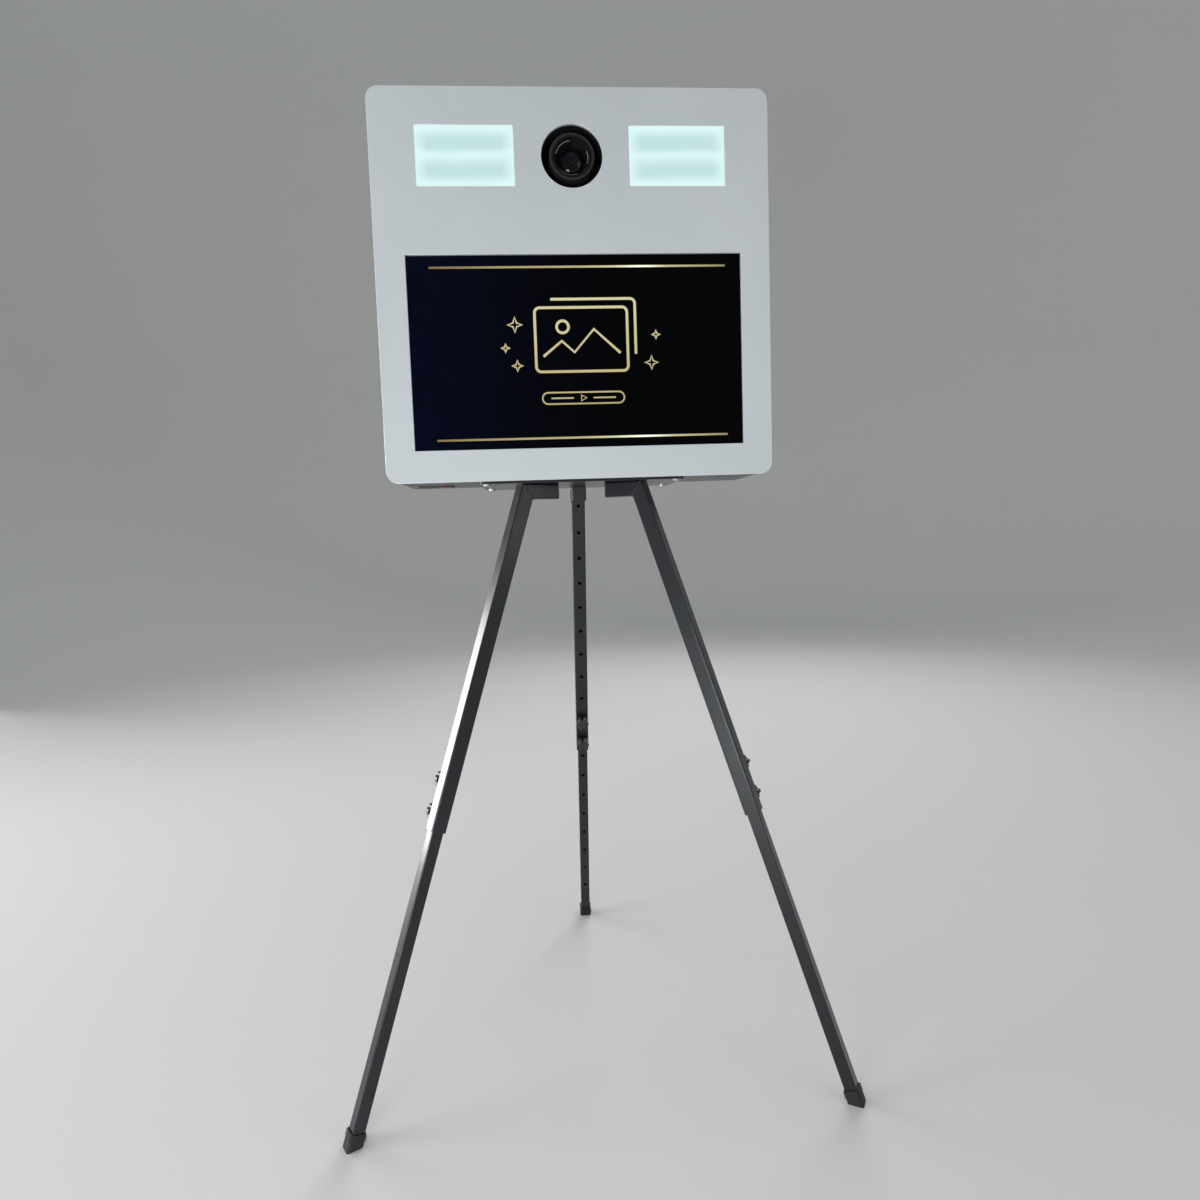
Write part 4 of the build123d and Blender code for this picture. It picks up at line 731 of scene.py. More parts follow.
class Strokes(ShapeTree):
    """Round or flattened bars along the edges of a wire mesh."""

    def __init__(self) -> None:
        """Builds the tree."""
        super().__init__("strokes", [Socket("Radius", "Float", 0.001), Socket("Flatness", "Float", 1.0),
                                     Socket("Front", "Float", 0.0)])
        add = self.graph.add
        curve = add("GeometryNodeMeshToCurve", {"Mesh": self.given["Geometry"]})
        ring = add("GeometryNodeCurvePrimitiveCircle", {"Resolution": 8, "Radius": self.given["Radius"]})
        bars = add("GeometryNodeCurveToMesh", {"Curve": curve.outputs[0], "Profile Curve": ring.outputs[0],
                                               "Fill Caps": True})
        squeeze = add("ShaderNodeCombineXYZ", {0: 1.0, 1: self.given["Flatness"], 2: 1.0})
        shift = add("ShaderNodeCombineXYZ", {1: self.given["Front"]})
        placed = add("GeometryNodeTransform", {"Geometry": bars.outputs[0], "Translation": shift.outputs[0],
                                               "Scale": squeeze.outputs[0]})
        self.close(placed.outputs[0])


class Beads(ShapeTree):
    """Round beads of slightly uneven size along the edges of a wire mesh."""

    def __init__(self) -> None:
        """Builds the tree."""
        super().__init__("beads", [Socket("Radius", "Float", 0.001), Socket("Step", "Float", 0.001),
                                   Socket("Unevenness", "Float", 0.0), Socket("Seed", "Int", 1)])
        add = self.graph.add
        curve = add("GeometryNodeMeshToCurve", {"Mesh": self.given["Geometry"]})
        points = add("GeometryNodeCurveToPoints", {"Curve": curve.outputs[0], "Length": self.given["Step"]},
                     mode="LENGTH")
        ball = add("GeometryNodeMeshUVSphere", {"Segments": 10, "Rings": 6, "Radius": self.given["Radius"]})
        least = self.graph.difference(1.0, self.given["Unevenness"])
        most = self.graph.math("ADD", 1.0, self.given["Unevenness"])
        inputs = {2: least, 3: most, "Seed": self.given["Seed"]}
        size = add("FunctionNodeRandomValue", inputs, data_type="FLOAT")
        row = add("GeometryNodeInstanceOnPoints", {"Points": points.outputs[0], "Instance": ball.outputs[0],
                                                   "Scale": size.outputs[1]})
        self.close(row.outputs[0])


class BoardParts(ShapeTree):
    """Small block-shaped parts in rows on a board that faces +Y."""

    SMALLEST = (0.45, 0.45, 0.5)

    def __init__(self) -> None:
        """Builds the tree."""
        inputs = [Socket("Width", "Float", 0.1), Socket("Height", "Float", 0.05), Socket("Columns", "Int", 8),
                  Socket("Rows", "Int", 5), Socket("Part", "Vector"), Socket("Place", "Vector"),
                  Socket("Share", "Float", 0.6), Socket("Seed", "Int", 3)]
        super().__init__("board_parts", inputs)
        add = self.graph.add
        given = self.given
        grid = add("GeometryNodeMeshGrid", {"Size X": given["Width"], "Size Y": given["Height"],
                                            "Vertices X": given["Columns"], "Vertices Y": given["Rows"]})
        chosen = add("FunctionNodeRandomValue", {"Probability": given["Share"], "Seed": given["Seed"]},
                     data_type="BOOLEAN")
        size = add("FunctionNodeRandomValue", {0: self.SMALLEST, 1: (1.0, 1.0, 1.0), "Seed": given["Seed"]},
                   data_type="FLOAT_VECTOR")
        part = add("GeometryNodeMeshCube", {"Size": given["Part"]})
        inputs = {"Points": grid.outputs[0], "Selection": chosen.outputs[3], "Instance": part.outputs[0],
                  "Scale": size.outputs[0]}
        parts = add("GeometryNodeInstanceOnPoints", inputs)
        placed = add("GeometryNodeTransform", {"Geometry": parts.outputs[0], "Translation": given["Place"],
                                               "Rotation": (-math.pi / 2, 0.0, 0.0)})
        self.close(placed.outputs[0], smooth=False)


class Copies(ShapeTree):
    """Copies of one object's mesh on the vertices of another."""

    def __init__(self) -> None:
        """Builds the tree."""
        super().__init__("copies", [Socket("Original", "Object"), Socket("Turn", "Rotation")])
        add = self.graph.add
        original = add("GeometryNodeObjectInfo", {"Object": self.given["Original"]},
                       transform_space="ORIGINAL")
        copies = add("GeometryNodeInstanceOnPoints", {"Points": self.given["Geometry"],
                                                      "Instance": original.outputs["Geometry"],
                                                      "Rotation": self.given["Turn"]})
        self.close(copies.outputs[0], smooth=False)


class Trees:
    """The Geometry Nodes trees of the booth."""

    def __init__(self) -> None:
        """Builds each tree once."""
        self.strokes = Strokes()
        self.beads = Beads()
        self.board_parts = BoardParts()
        self.copies = Copies()


# ---------------------------------------------------------------- mesh helpers


def new_piece(name: str, mesh: Mesh) -> Object:
    """Makes an object of a mesh, with its faces turned outwards.

    Args:
        name: The piece's name.
        mesh: Its mesh, in place.

    Returns:
        The new object, in the scene.
    """
    work = bmesh.new()
    work.from_mesh(mesh)
    bmesh.ops.recalc_face_normals(work, faces=work.faces)
    work.to_mesh(mesh)
    work.free()
    mesh.name = name
    piece = bpy.data.objects.new(name, mesh)
    bpy.context.scene.collection.objects.link(piece)
    return piece


def wire(paths: Iterable[Path], closed: bool = False) -> Mesh:
    """Makes a mesh of edges along paths.

    Args:
        paths: Lists of points.
        closed: Whether each path's end joins its start.

    Returns:
        The wire mesh.
    """
    points: list[Vector] = []
    edges: list[tuple[int, int]] = []
    for path in paths:
        first = len(points)
        points += list(path)
        edges += [(first + step, first + step + 1) for step in range(len(path) - 1)]
        if closed:
            edges.append((len(points) - 1, first))
    mesh = bpy.data.meshes.new("wire")
    mesh.from_pydata(points, edges, [])
    return mesh


def joined(name: str, pieces: Sequence[Object]) -> Object:
    """Joins pieces with one material into one.

    Args:
        name: The name of the joined piece.
        pieces: The pieces, which are removed.

    Returns:
        The joined piece.
    """
    work = bmesh.new()
    for piece in pieces:
        work.from_mesh(piece.data)
    mesh = bpy.data.meshes.new(name)
    work.to_mesh(mesh)
    work.free()
    mesh.materials.append(pieces[0].data.materials[0])
    for piece in pieces:
        bpy.data.objects.remove(piece)
    return new_piece(name, mesh)


def flat(x: float, z: float) -> Vector:
    """Gives a point in the plane of the screen, from millimetres."""
    return Vector((x * MM, 0.0, z * MM))


def arc(x: float, z: float, radius: float, start: float, end: float, steps: int = 8) -> list[Vector]:
    """Gives points along an arc in the plane of the screen.

    Args:
        x: X of its centre in millimetres.
        z: Z of its centre in millimetres.
        radius: Its radius in millimetres.
        start: Its first angle in degrees.
        end: Its last angle in degrees.
        steps: How many stretches it has.

    Returns:
        The points in metres.
    """
    turns = [math.radians(start + (end - start) * step / steps) for step in range(steps + 1)]
    return [flat(x + radius * math.cos(turn), z + radius * math.sin(turn)) for turn in turns]


def rounded_box(x: float, z: float, half_width: float, half_height: float, corner: float) -> list[Vector]:
    """Gives a rounded rectangle in the plane of the screen, all sizes in millimetres."""
    points: list[Vector] = []
    for side, up, start in ((1, 1, 0.0), (-1, 1, 90.0), (-1, -1, 180.0), (1, -1, 270.0)):
        points += arc(x + side * (half_width - corner), z + up * (half_height - corner), corner, start,
                      start + 90.0, 6)
    return points


def lathe(profile: Sequence[tuple[float, float]], steps: int, dent: float = 0.0, reach: float = 0.0,
          width: float = 0.0) -> bmesh.types.BMesh:
    """Turns a profile about Z, with a cross-shaped recess in its top if asked.

    Args:
        profile: Radius and height pairs, from the middle of the top to the middle of the bottom.
        steps: How many faces there are round the axis.
        dent: Depth of the cross recess.
        reach: Half length of the cross's arms.
        width: Half width of the cross's arms.

    Returns:
        The closed mesh.
    """
    work = bmesh.new()
    rings = []
    for radius, height in profile:
        ring = []
        for step in range(steps):
            turn = 2 * math.pi * step / steps
            x, y = radius * math.cos(turn), radius * math.sin(turn)
            in_cross = min(abs(x), abs(y)) <= width and max(abs(x), abs(y)) <= reach and height > 0
            ring.append(work.verts.new((x, y, height - (dent if in_cross else 0.0))))
        rings.append(ring)
    for upper, lower in zip(rings, rings[1:]):
        for step in range(steps):
            after = (step + 1) % steps
            work.faces.new((upper[step], upper[after], lower[after], lower[step]))
    for ring in (rings[0], rings[-1]):
        work.faces.new(ring)
    return work


def kept(piece: Object, body: str, slot: str, *stands_for: str) -> Object:
    """Gives a finished piece its body and hides the CAD nodes that it stands for.

    Args:
        piece: The finished piece.
        body: The body that it rides on.
        slot: Not used.
        *stands_for: CAD nodes that it replaces.

    Returns:
        The piece.
    """
    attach(piece, body)
    if stands_for:
        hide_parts(*stands_for)
    LOG.info("piece %s on %s, %d faces", piece.name, body, len(piece.data.polygons))
    return piece


def dress(nodes: Iterable[str], material: Material) -> None:
    """Gives CAD nodes a finish.

    Args:
        nodes: The nodes' names.
        material: The finish.
    """
    for node in nodes:
        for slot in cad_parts[node].material_slots:
            slot.material = material
        LOG.info("node %s in %s", node, material.name)


# ----------------------------------------------------------------- sub-assemblies


@dataclass
class FrontPanel:
    """White gloss front with its two lit windows."""

    finishes: Finishes

    def dress(self) -> None:
        """Dresses the panel, its studs and the lamps behind it."""
        dress(["front_panel"], self.finishes["panel_gloss"])
        dress(["diffusers"], self.finishes["opal_lit"])
        dress(["led_strips"], self.finishes["led_board"])
        dress(["lamp_boxes"], self.finishes["white_paint"])
        dress(["panel_fixings"], self.finishes["zinc_steel"])


@dataclass
class Screen:
    """Touch screen with its start picture: two gold rules, stacked cards and a start bar."""

    finishes: Finishes
    trees: Trees
    rule_inset_left: float = 35.0
    rule_inset_right: float = 25.0
    rule_below_top: float = 18.0
    rule_above_bottom: float = 16.0
    rule_radius: float = 1.7
    card_half_width: float = 74.0
    card_half_height: float = 50.0
    card_corner: float = 8.0
    card_lift: float = 20.0
    card_shift: float = 6.0
    stack_step: float = 13.0
    line_radius: float = 2.2
    bar_drop: float = 72.0
    bar_half_width: float = 66.0
    bar_half_height: float = 9.0
    dash: tuple[float, float] = (16.0, 52.0)
    sun: tuple[float, float, float] = (-30.0, 20.0, 9.5)
    sun_end: float = 345.0
    hills: tuple[tuple[float, float], ...] = ((-62.0, -26.0), (-32.0, -2.0), (-12.0, -20.0), (20.0, 16.0),
                                              (62.0, -22.0))
    sparkles: tuple[tuple[float, float, float], ...] = ((-100, 44, 12), (-116, 8, 7), (-98, -20, 9),
                                                        (118, -18, 11), (126, 26, 7))
    sparkle_waist: float = 0.34
    triangle: tuple[tuple[float, float], ...] = ((-3.5, 4.5), (-3.5, -4.5), (5.0, 0.0))
    glass_border: float = 8.5
    thin_share: float = 0.6
    flatness: float = 0.03

    def dress(self) -> None:
        """Dresses the glass and everything behind it."""
        dress(["touch_glass"], self.finishes["screen_glass"])
        dress(["display_module"], self.finishes["display_black"])
        dress(["display_tray"], self.finishes["zinc_steel"])
        dress(["screen_gasket"], self.finishes["rubber_black"])
        dress(["display_controller"], self.finishes["circuit_board"])

    def _rules(self) -> list[Path]:
        """Gives the two long rules, about the glass's middle."""
        low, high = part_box("touch_glass")
        half_width = (high.x - low.x) / 2 / MM - self.glass_border
        half_height = (high.z - low.z) / 2 / MM - self.glass_border
        ends = (-half_width + self.rule_inset_left, half_width - self.rule_inset_right)
        heights = (half_height - self.rule_below_top, -half_height + self.rule_above_bottom)
        return [[flat(ends[0], z), flat(ends[1], z)] for z in heights]

    def _card(self) -> tuple[list[Path], list[Path]]:
        """Gives the closed and the open lines of the stacked picture cards."""
        x, z = self.card_shift, self.card_lift
        wide, high, step = self.card_half_width, self.card_half_height, self.stack_step
        right, up, round_off = x + wide + step, z + high + step, self.card_corner
        sun_x, sun_z, sun_radius = self.sun
        closed = [rounded_box(x, z, wide, high, round_off),
                  arc(x + sun_x, z + sun_z, sun_radius, 0.0, self.sun_end, 22)]
        hills = [flat(x + aside, z + above) for aside, above in self.hills]
        corner = arc(right - round_off, up - round_off, round_off, 90.0, 0.0)
        behind = [flat(x - wide + 2 * step, up), *corner, flat(right, z - high + 2 * step)]
        return closed, [hills, behind]

    def _sparkles(self) -> list[Path]:
        """Gives four-pointed stars beside the cards."""
        stars = []
        for x, z, size in self.sparkles:
            points = []
            for point in range(8):
                reach = size if point % 2 == 0 else size * self.sparkle_waist
                turn = math.pi / 4 * point
                points.append(flat(x + reach * math.cos(turn), z + reach * math.sin(turn)))
            stars.append(points)
        return stars

    def _bar(self) -> tuple[list[Path], list[Path]]:
        """Gives the outline of the start bar with its triangle, and the dashes beside that."""
        x, z, tall = self.card_shift, -self.bar_drop, self.bar_half_height
        outline = rounded_box(x, z, self.bar_half_width, tall, tall)
        triangle = [flat(x + aside, z + above) for aside, above in self.triangle]
        dashes = [[flat(x + side * reach, z) for reach in self.dash] for side in (-1, 1)]
        return [outline, triangle], dashes

    def build(self) -> None:
        """Builds the start picture on the front of the glass."""
        low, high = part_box("touch_glass")
        middle_height = (low.z + high.z) / 2
        closed, opened = self._card()
        bar_closed, bar_open = self._bar()
        wide = self.line_radius * MM
        thin = wide * self.thin_share
        layers = [(closed, True, wide), (opened, False, wide), (self._sparkles(), True, thin),
                  (bar_closed, True, thin), (bar_open, False, thin)]
        strokes = []
        for place, (paths, is_closed, radius) in enumerate(layers):
            base = wire(paths, is_closed)
            base.transform(Matrix.Translation((0.0, 0.0, middle_height)))
            strokes.append(self.trees.strokes.run(f"stroke_{place}", base, self.finishes["picture_gold"],
                                                  Radius=radius, Flatness=self.flatness, Front=low.y))
        kept(joined("start_picture", strokes), Body.STAND, "display_black")
        base = wire(self._rules())
        base.transform(Matrix.Translation((0.0, 0.0, middle_height)))
        rules = self.trees.strokes.run("start_picture_rules", base, self.finishes["rule_gold"],
                                       Radius=self.rule_radius * MM, Flatness=self.flatness, Front=low.y)
        kept(rules, Body.STAND, "display_black")


@dataclass
class CameraUnit:
    """Camera on its shelf behind the round port, with the fine marks and controls."""

    finishes: Finishes
    trees: Trees
    mark_spans: tuple[tuple[int, int], ...] = ((96, 165), (-18, 24), (228, 284))
    mark_step: int = 6
    mark_length: float = 3.6
    mark_ring: float = 25.7
    mark_depth: float = 0.0059
    mark_radius: float = 0.00042
    eyecup_radius: float = 0.0016
    eyecup_half_width: float = 0.017
    eyecup_height: float = 0.014
    eyecup_below_top: float = 0.004
    button_radius: float = 0.0026
    button_step: float = 0.0098
    button_aside: float = 0.006
    button_ends: tuple[float, float] = (0.006, 0.004)
    button_proud: float = 0.0002

    def dress(self) -> None:
        """Dresses the lens, the camera and what holds them."""
        dress(["lens_tunnel", "camera_screw"], self.finishes["plastic_black"])
        dress(["lens_barrel", "mode_dial"], self.finishes["lens_black"])
        dress(["focus_ring", "zoom_ring"], self.finishes["rubber_black"])
        dress(["lens_glass"], self.finishes["lens_glass"])
        dress(["camera_body"], self.finishes["camera_black"])
        dress(["camera_screen"], self.finishes["screen_glass"])
        dress(["shutter_button"], self.finishes["chrome"])
        dress(["camera_shelf"], self.finishes["case_paint"])

    def _lens_marks(self) -> None:
        """Builds the rows of short marks round the lens's bezel."""
        low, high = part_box("lens_barrel")
        middle = (low + high) / 2 / MM
        marks = [arc(middle.x, middle.z, self.mark_ring, turn, turn + self.mark_length, 2)
                 for first, last in self.mark_spans for turn in range(first, last, self.mark_step)]
        marks_piece = self.trees.strokes.run("lens_marks", wire(marks), self.finishes["mark_white"],
                                             Radius=self.mark_radius, Front=low.y + self.mark_depth)
        kept(marks_piece, Body.STAND, "lens_black")

    def _controls(self) -> None:
        """Builds the eyecup and the row of buttons on the camera's back."""
        low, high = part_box("camera_screen")
        _, body_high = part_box("camera_body")
        half, top = self.eyecup_half_width, body_high.z - self.eyecup_below_top
        bottom = top - self.eyecup_height
        loop = [Vector((x, body_high.y, z)) for x, z in
                ((-half, bottom), (half, bottom), (half, top), (-half, top))]
        eyecup = self.trees.strokes.run("camera_eyecup", wire([loop], True), self.finishes["rubber_black"],
                                        Radius=self.eyecup_radius)
        kept(eyecup, Body.STAND, "rubber_black")
        x, y = high.x + self.button_aside, high.y + self.button_proud
        row = [Vector((x, y, low.z + self.button_ends[0])), Vector((x, y, high.z - self.button_ends[1]))]
        buttons = self.trees.beads.run("camera_buttons", wire([row]), self.finishes["plastic_black"],
                                       Radius=self.button_radius, Step=self.button_step)
        kept(buttons, Body.STAND, "plastic_black")

    def build(self) -> None:
        """Builds the added pieces."""
        self._lens_marks()
        self._controls()


@dataclass
class Electronics:
    """Computer, power supply, display board and mains inlet inside the case."""

    finishes: Finishes
    trees: Trees
    connector_depth: float = 0.007
    field_width: float = 0.108
    field_height: float = 0.040
    field_lift: float = 0.010
    columns: int = 13
    rows: int = 6
    share: float = 0.45
    terminal_radius: float = 0.0032
    terminal_step: float = 0.0095
    terminal_inset: float = 0.014
    terminal_aside: float = 0.008
    bay_floor: float = 0.030

    def dress(self) -> None:
        """Dresses the equipment."""
        dress(["mini_computer", "power_inlet"], self.finishes["plastic_black"])
        dress(["power_supply"], self.finishes["aluminium"])
        dress(["computer_button"], self.finishes["zinc_steel"])
        dress(["rocker_switch"], self.finishes["plastic_red"])

    def _board_parts(self) -> None:
        """Builds the small parts on the display's driver board."""
        low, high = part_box("display_controller")
        middle = (low + high) / 2
        face = high.y - self.connector_depth
        for name, finish, seed, part in (("board_chips", "plastic_black", 5, (0.006, 0.006, 0.0018)),
                                         ("board_capacitors", "aluminium", 11, (0.0028, 0.0022, 0.003))):
            piece = self.trees.board_parts.run(
                name, bpy.data.meshes.new("empty"), self.finishes[finish], Width=self.field_width,
                Height=self.field_height, Columns=self.columns, Rows=self.rows, Part=part,
                Place=(middle.x, face + part[2] / 2, middle.z + self.field_lift), Share=self.share, Seed=seed)
            kept(piece, Body.STAND, finish)

    def _terminals(self) -> None:
        """Builds the terminal screws in the power supply's end bay."""
        low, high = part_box("power_supply")
        x, z = low.x + self.terminal_aside, low.z + self.bay_floor
        row = [Vector((x, low.y + self.terminal_inset, z)), Vector((x, high.y - self.terminal_inset, z))]
        screws = self.trees.beads.run("supply_terminals", wire([row]), self.finishes["zinc_steel"],
                                      Radius=self.terminal_radius, Step=self.terminal_step)
        kept(screws, Body.STAND, "zinc_steel")

    def build(self) -> None:
        """Builds the added pieces."""
        self._board_parts()
        self._terminals()


@dataclass
class Case:
    """Folded case with the screws in its sides."""

    finishes: Finishes
    trees: Trees
    head_radius: float = 0.0035
    head_height: float = 0.0012
    shank_radius: float = 0.002
    shank_length: float = 0.008

    def dress(self) -> None:
        """Dresses the shell and the plain fixings."""
        dress(["case_shell"], self.finishes["case_paint"])
        dress(["leg_bolts", "plate_fixings", "nut_bars"], self.finishes["zinc_steel"])

    def build(self) -> None:
        """Builds the cross-headed screws of the camera shelf."""
        low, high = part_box("shelf_screws")
        rows = [low.y + self.head_radius, high.y - self.head_radius]
        level = (low.z + high.z) / 2
        original = cross_screw(self.head_radius, self.head_height, self.shank_radius, self.shank_length)
        sides = []
        for side, edge in ((-1, low.x), (1, high.x)):
            points = bpy.data.meshes.new("points")
            points.from_pydata([(edge - side * self.head_height, y, level) for y in rows], [], [])
            turn = Euler((0.0, side * math.pi / 2, 0.0))
            sides.append(self.trees.copies.run(f"side_{side}", points, self.finishes["zinc_steel"],
                                               Original=original, Turn=turn))
        bpy.data.objects.remove(original)
        kept(joined("shelf_cross_screws", sides), Body.STAND, "zinc_steel", "shelf_screws")


def cross_screw(head: float, height: float, shank: float, length: float) -> Object:
    """Makes a pan-head screw with a cross recess, its head's underside at the origin and its head up.

    Args:
        head: The head's radius.
        height: The head's height.
        shank: The shank's radius.
        length: The shank's length.

    Returns:
        The screw, which is an original for copies.
    """
    rings = 9
    top = []
    for ring in range(rings):
        share = (ring + 0.2) / rings
        top.append((head * 0.97 * share, height * (1.0 - 0.35 * share ** 3)))
    profile = [*top, (head, height * 0.45), (head, 0.0), (shank, 0.0), (shank, -length + shank * 0.4),
               (shank * 0.6, -length)]
    work = lathe(profile, 32, dent=height * 0.62, reach=head * 0.6, width=head * 0.14)
    mesh = bpy.data.meshes.new("cross_screw")
    work.to_mesh(mesh)
    work.free()
    return new_piece("cross_screw_original", mesh)


@dataclass
class RearDoor:
    """Service door with its hinges, lock, pull, vent and fan."""

    finishes: Finishes
    trees: Trees
    screw_head_radius: float = 0.0036
    screw_head_height: float = 0.002
    screw_shank_radius: float = 0.002
    mesh_pitch: float = 0.003
    mesh_wire: float = 0.00035
    vent_half_width: float = 0.066
    vent_half_height: float = 0.050
    vent_from_middle: float = -0.130
    vent_above_edge: float = 0.265

    def dress(self) -> None:
        """Dresses the door and what is fixed to it."""
        dress(["rear_door"], self.finishes["case_paint"])
        dress(["door_stiffeners", "hinge_case_side", "hinge_door_side", "lock_cam"],
              self.finishes["zinc_steel"])
        dress(["lock_sleeve", "lock_plug", "door_pull", "fan_guard"], self.finishes["chrome"])
        dress(["fan_frame", "fan_rotor"], self.finishes["plastic_black"])

    def _fan_screws(self) -> None:
        """Builds the cross-headed screws of the fan."""
        low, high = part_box("fan_screws")
        inset = self.screw_head_radius
        under = high.y - self.screw_head_height
        points = bpy.data.meshes.new("points")
        points.from_pydata([(x, under, z) for x in (low.x + inset, high.x - inset)
                            for z in (low.z + inset, high.z - inset)], [], [])
        original = cross_screw(inset, self.screw_head_height, self.screw_shank_radius, under - low.y)
        screws = self.trees.copies.run("fan_cross_screws", points, self.finishes["zinc_steel"],
                                       Original=original, Turn=Euler((-math.pi / 2, 0.0, 0.0)))
        bpy.data.objects.remove(original)
        kept(screws, Body.DOOR, "zinc_steel", "fan_screws")

    def _vent_mesh(self) -> None:
        """Builds the wire cloth behind the vent slots."""
        door_low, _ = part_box("rear_door")
        panel_low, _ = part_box("front_panel")
        middle = Vector((self.vent_from_middle, 0.0, panel_low.z + self.vent_above_edge))
        y = door_low.y - 2 * self.mesh_wire
        wide, high = self.vent_half_width, self.vent_half_height
        columns, rows = int(wide / self.mesh_pitch), int(high / self.mesh_pitch)
        wires = []
        for column in range(-columns, columns + 1):
            x = middle.x + column * self.mesh_pitch
            wires.append([Vector((x, y, middle.z - high)), Vector((x, y, middle.z + high))])
        for row in range(-rows, rows + 1):
            z = middle.z + row * self.mesh_pitch
            wires.append([Vector((middle.x - wide, y, z)), Vector((middle.x + wide, y, z))])
        cloth = self.trees.strokes.run("vent_wire_cloth", wire(wires), self.finishes["zinc_steel"],
                                       Radius=self.mesh_wire)
        kept(cloth, Body.DOOR, "zinc_steel")

    def build(self) -> None:
        """Builds the added pieces."""
        self._fan_screws()
        self._vent_mesh()


@dataclass
class Leg:
    """One leg's own axes: along its stub, across it and down its tube."""

    name: str
    turn: float
    centre: Vector
    elbow_height: float
    elbow_radius: float
    lean: float

    def point(self, along: float, out: float, across: float) -> Vector:
        """Gives a point by its place on the leaning tube.

        Args:
            along: Distance from the elbow down the tube.
            out: Distance out of the tube's centre line, away from the stand's middle.
            across: Distance to the side.

        Returns:
            The point.
        """
        down = Vector((math.sin(self.lean), 0.0, -math.cos(self.lean)))
        away = Vector((math.cos(self.lean), 0.0, math.sin(self.lean)))
        local = Vector((self.elbow_radius, across, 0.0)) + down * along + away * out
        return self._placed(local)

    def stub_point(self, reach: float, across: float, up: float) -> Vector:
        """Gives a point by its place on the level stub, measured from the elbow."""
        return self._placed(Vector((self.elbow_radius + reach, across, up)))

    def _placed(self, local: Vector) -> Vector:
        """Turns a point about the stand's middle and lifts it to the elbow's height."""
        lift = Vector((0.0, 0.0, self.elbow_height))
        return self.centre + lift + Matrix.Rotation(self.turn, 3, "Z") @ local


@dataclass
class Stand:
    """Mounting plate and three telescopic legs with clamps, welds and rubber feet."""

    finishes: Finishes
    trees: Trees
    turns: tuple[tuple[str, float], ...] = (("front_left", 210.0), ("front_right", -30.0), ("rear", 90.0))
    stub_inner_radius: float = 0.054
    elbow_radius: float = 0.110
    tube_side: float = 0.025
    lean: float = math.radians(19.2)
    weld_reach: float = 0.8
    bead_radius: float = 0.0013
    bead_step: float = 0.0011
    bead_unevenness: float = 0.14
    cap_half: float = 0.0122
    cap_ring_radius: float = 0.0005
    cap_rings: tuple[float, ...] = (0.009, 0.0125, 0.016)

    def dress(self) -> None:
        """Dresses the plate, the tubes, the clamps and the feet."""
        dress(["mounting_plate"], self.finishes["leg_paint"])
        dress(["stub_plugs"], self.finishes["plastic_black"])
        for leg, _ in self.turns:
            dress([f"upper_leg_{leg}", f"inner_leg_{leg}"], self.finishes["leg_paint"])
            dress([f"foot_cap_{leg}"], self.finishes["rubber_black"])
            dress([f"grip_screw_upper_{leg}", f"grip_screw_lower_{leg}"], self.finishes["plastic_black"])

    def _legs(self) -> list[Leg]:
        """Gives the three legs, placed from the rear leg's box."""
        low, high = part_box("upper_leg_rear")
        centre = Vector(((low.x + high.x) / 2, low.y - self.stub_inner_radius, 0.0))
        height = high.z - self.tube_side / 2
        return [Leg(name, math.radians(turn), centre, height, self.elbow_radius, self.lean)
                for name, turn in self.turns]

    def _weld(self, leg: Leg) -> Path:
        """Gives the weld's line round both sides and the underside of a leg's mitre."""
        half = self.tube_side / 2
        slant = half * math.cos(self.lean) / (1 + math.sin(self.lean))
        top, bottom = (slant * self.weld_reach, half * self.weld_reach), (-slant, -half)
        corners = [(top, -half), (bottom, -half), (bottom, half), (top, half)]
        return [leg.stub_point(reach, across, up) for (reach, up), across in corners]

    def _foot_rings(self, leg: Leg) -> None:
        """Builds the ribs round a leg's rubber foot."""
        low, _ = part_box(f"foot_cap_{leg.name}")
        length = (leg.elbow_height - low.z) / math.cos(self.lean)
        half = self.cap_half
        loops = []
        for above in self.cap_rings:
            along = length - above - half * math.tan(self.lean)
            loops.append([leg.point(along, out, across) for out, across in
                          ((-half, -half), (half, -half), (half, half), (-half, half))])
        rings = self.trees.strokes.run(f"foot_ribs_{leg.name}", wire(loops, True),
                                       self.finishes["rubber_black"], Radius=self.cap_ring_radius)
        kept(rings, f"inner_leg_{leg.name}", "rubber_black")

    def build(self) -> None:
        """Builds the weld beads and the ribs of the feet."""
        legs = self._legs()
        welds = self.trees.beads.run("mitre_welds", wire([self._weld(leg) for leg in legs]),
                                     self.finishes["leg_paint"], Radius=self.bead_radius, Step=self.bead_step,
                                     Unevenness=self.bead_unevenness, Seed=7)
        kept(welds, Body.STAND, "leg_paint")
        for leg in legs:
            self._foot_rings(leg)


# ------------------------------------------------------------------------ studio


@dataclass
class Lamp:
    """One square studio light."""

    name: str
    place: tuple[float, float, float]
    aim: tuple[float, float, float]
    size: float
    power: float
    colour: Colour = (1.0, 1.0, 1.0)
    spread: float = math.pi

    def build(self) -> None:
        """Builds the light."""
        data = bpy.data.lights.new(self.name, "AREA")
        data.size = self.size
        data.spread = self.spread
        data.energy = self.power
        data.color = self.colour
        lamp = bpy.data.objects.new(self.name, data)
        lamp.location = self.place
        lamp.rotation_euler = (Vector(self.aim) - Vector(self.place)).to_track_quat("-Z", "Y").to_euler()
        bpy.context.scene.collection.objects.link(lamp)


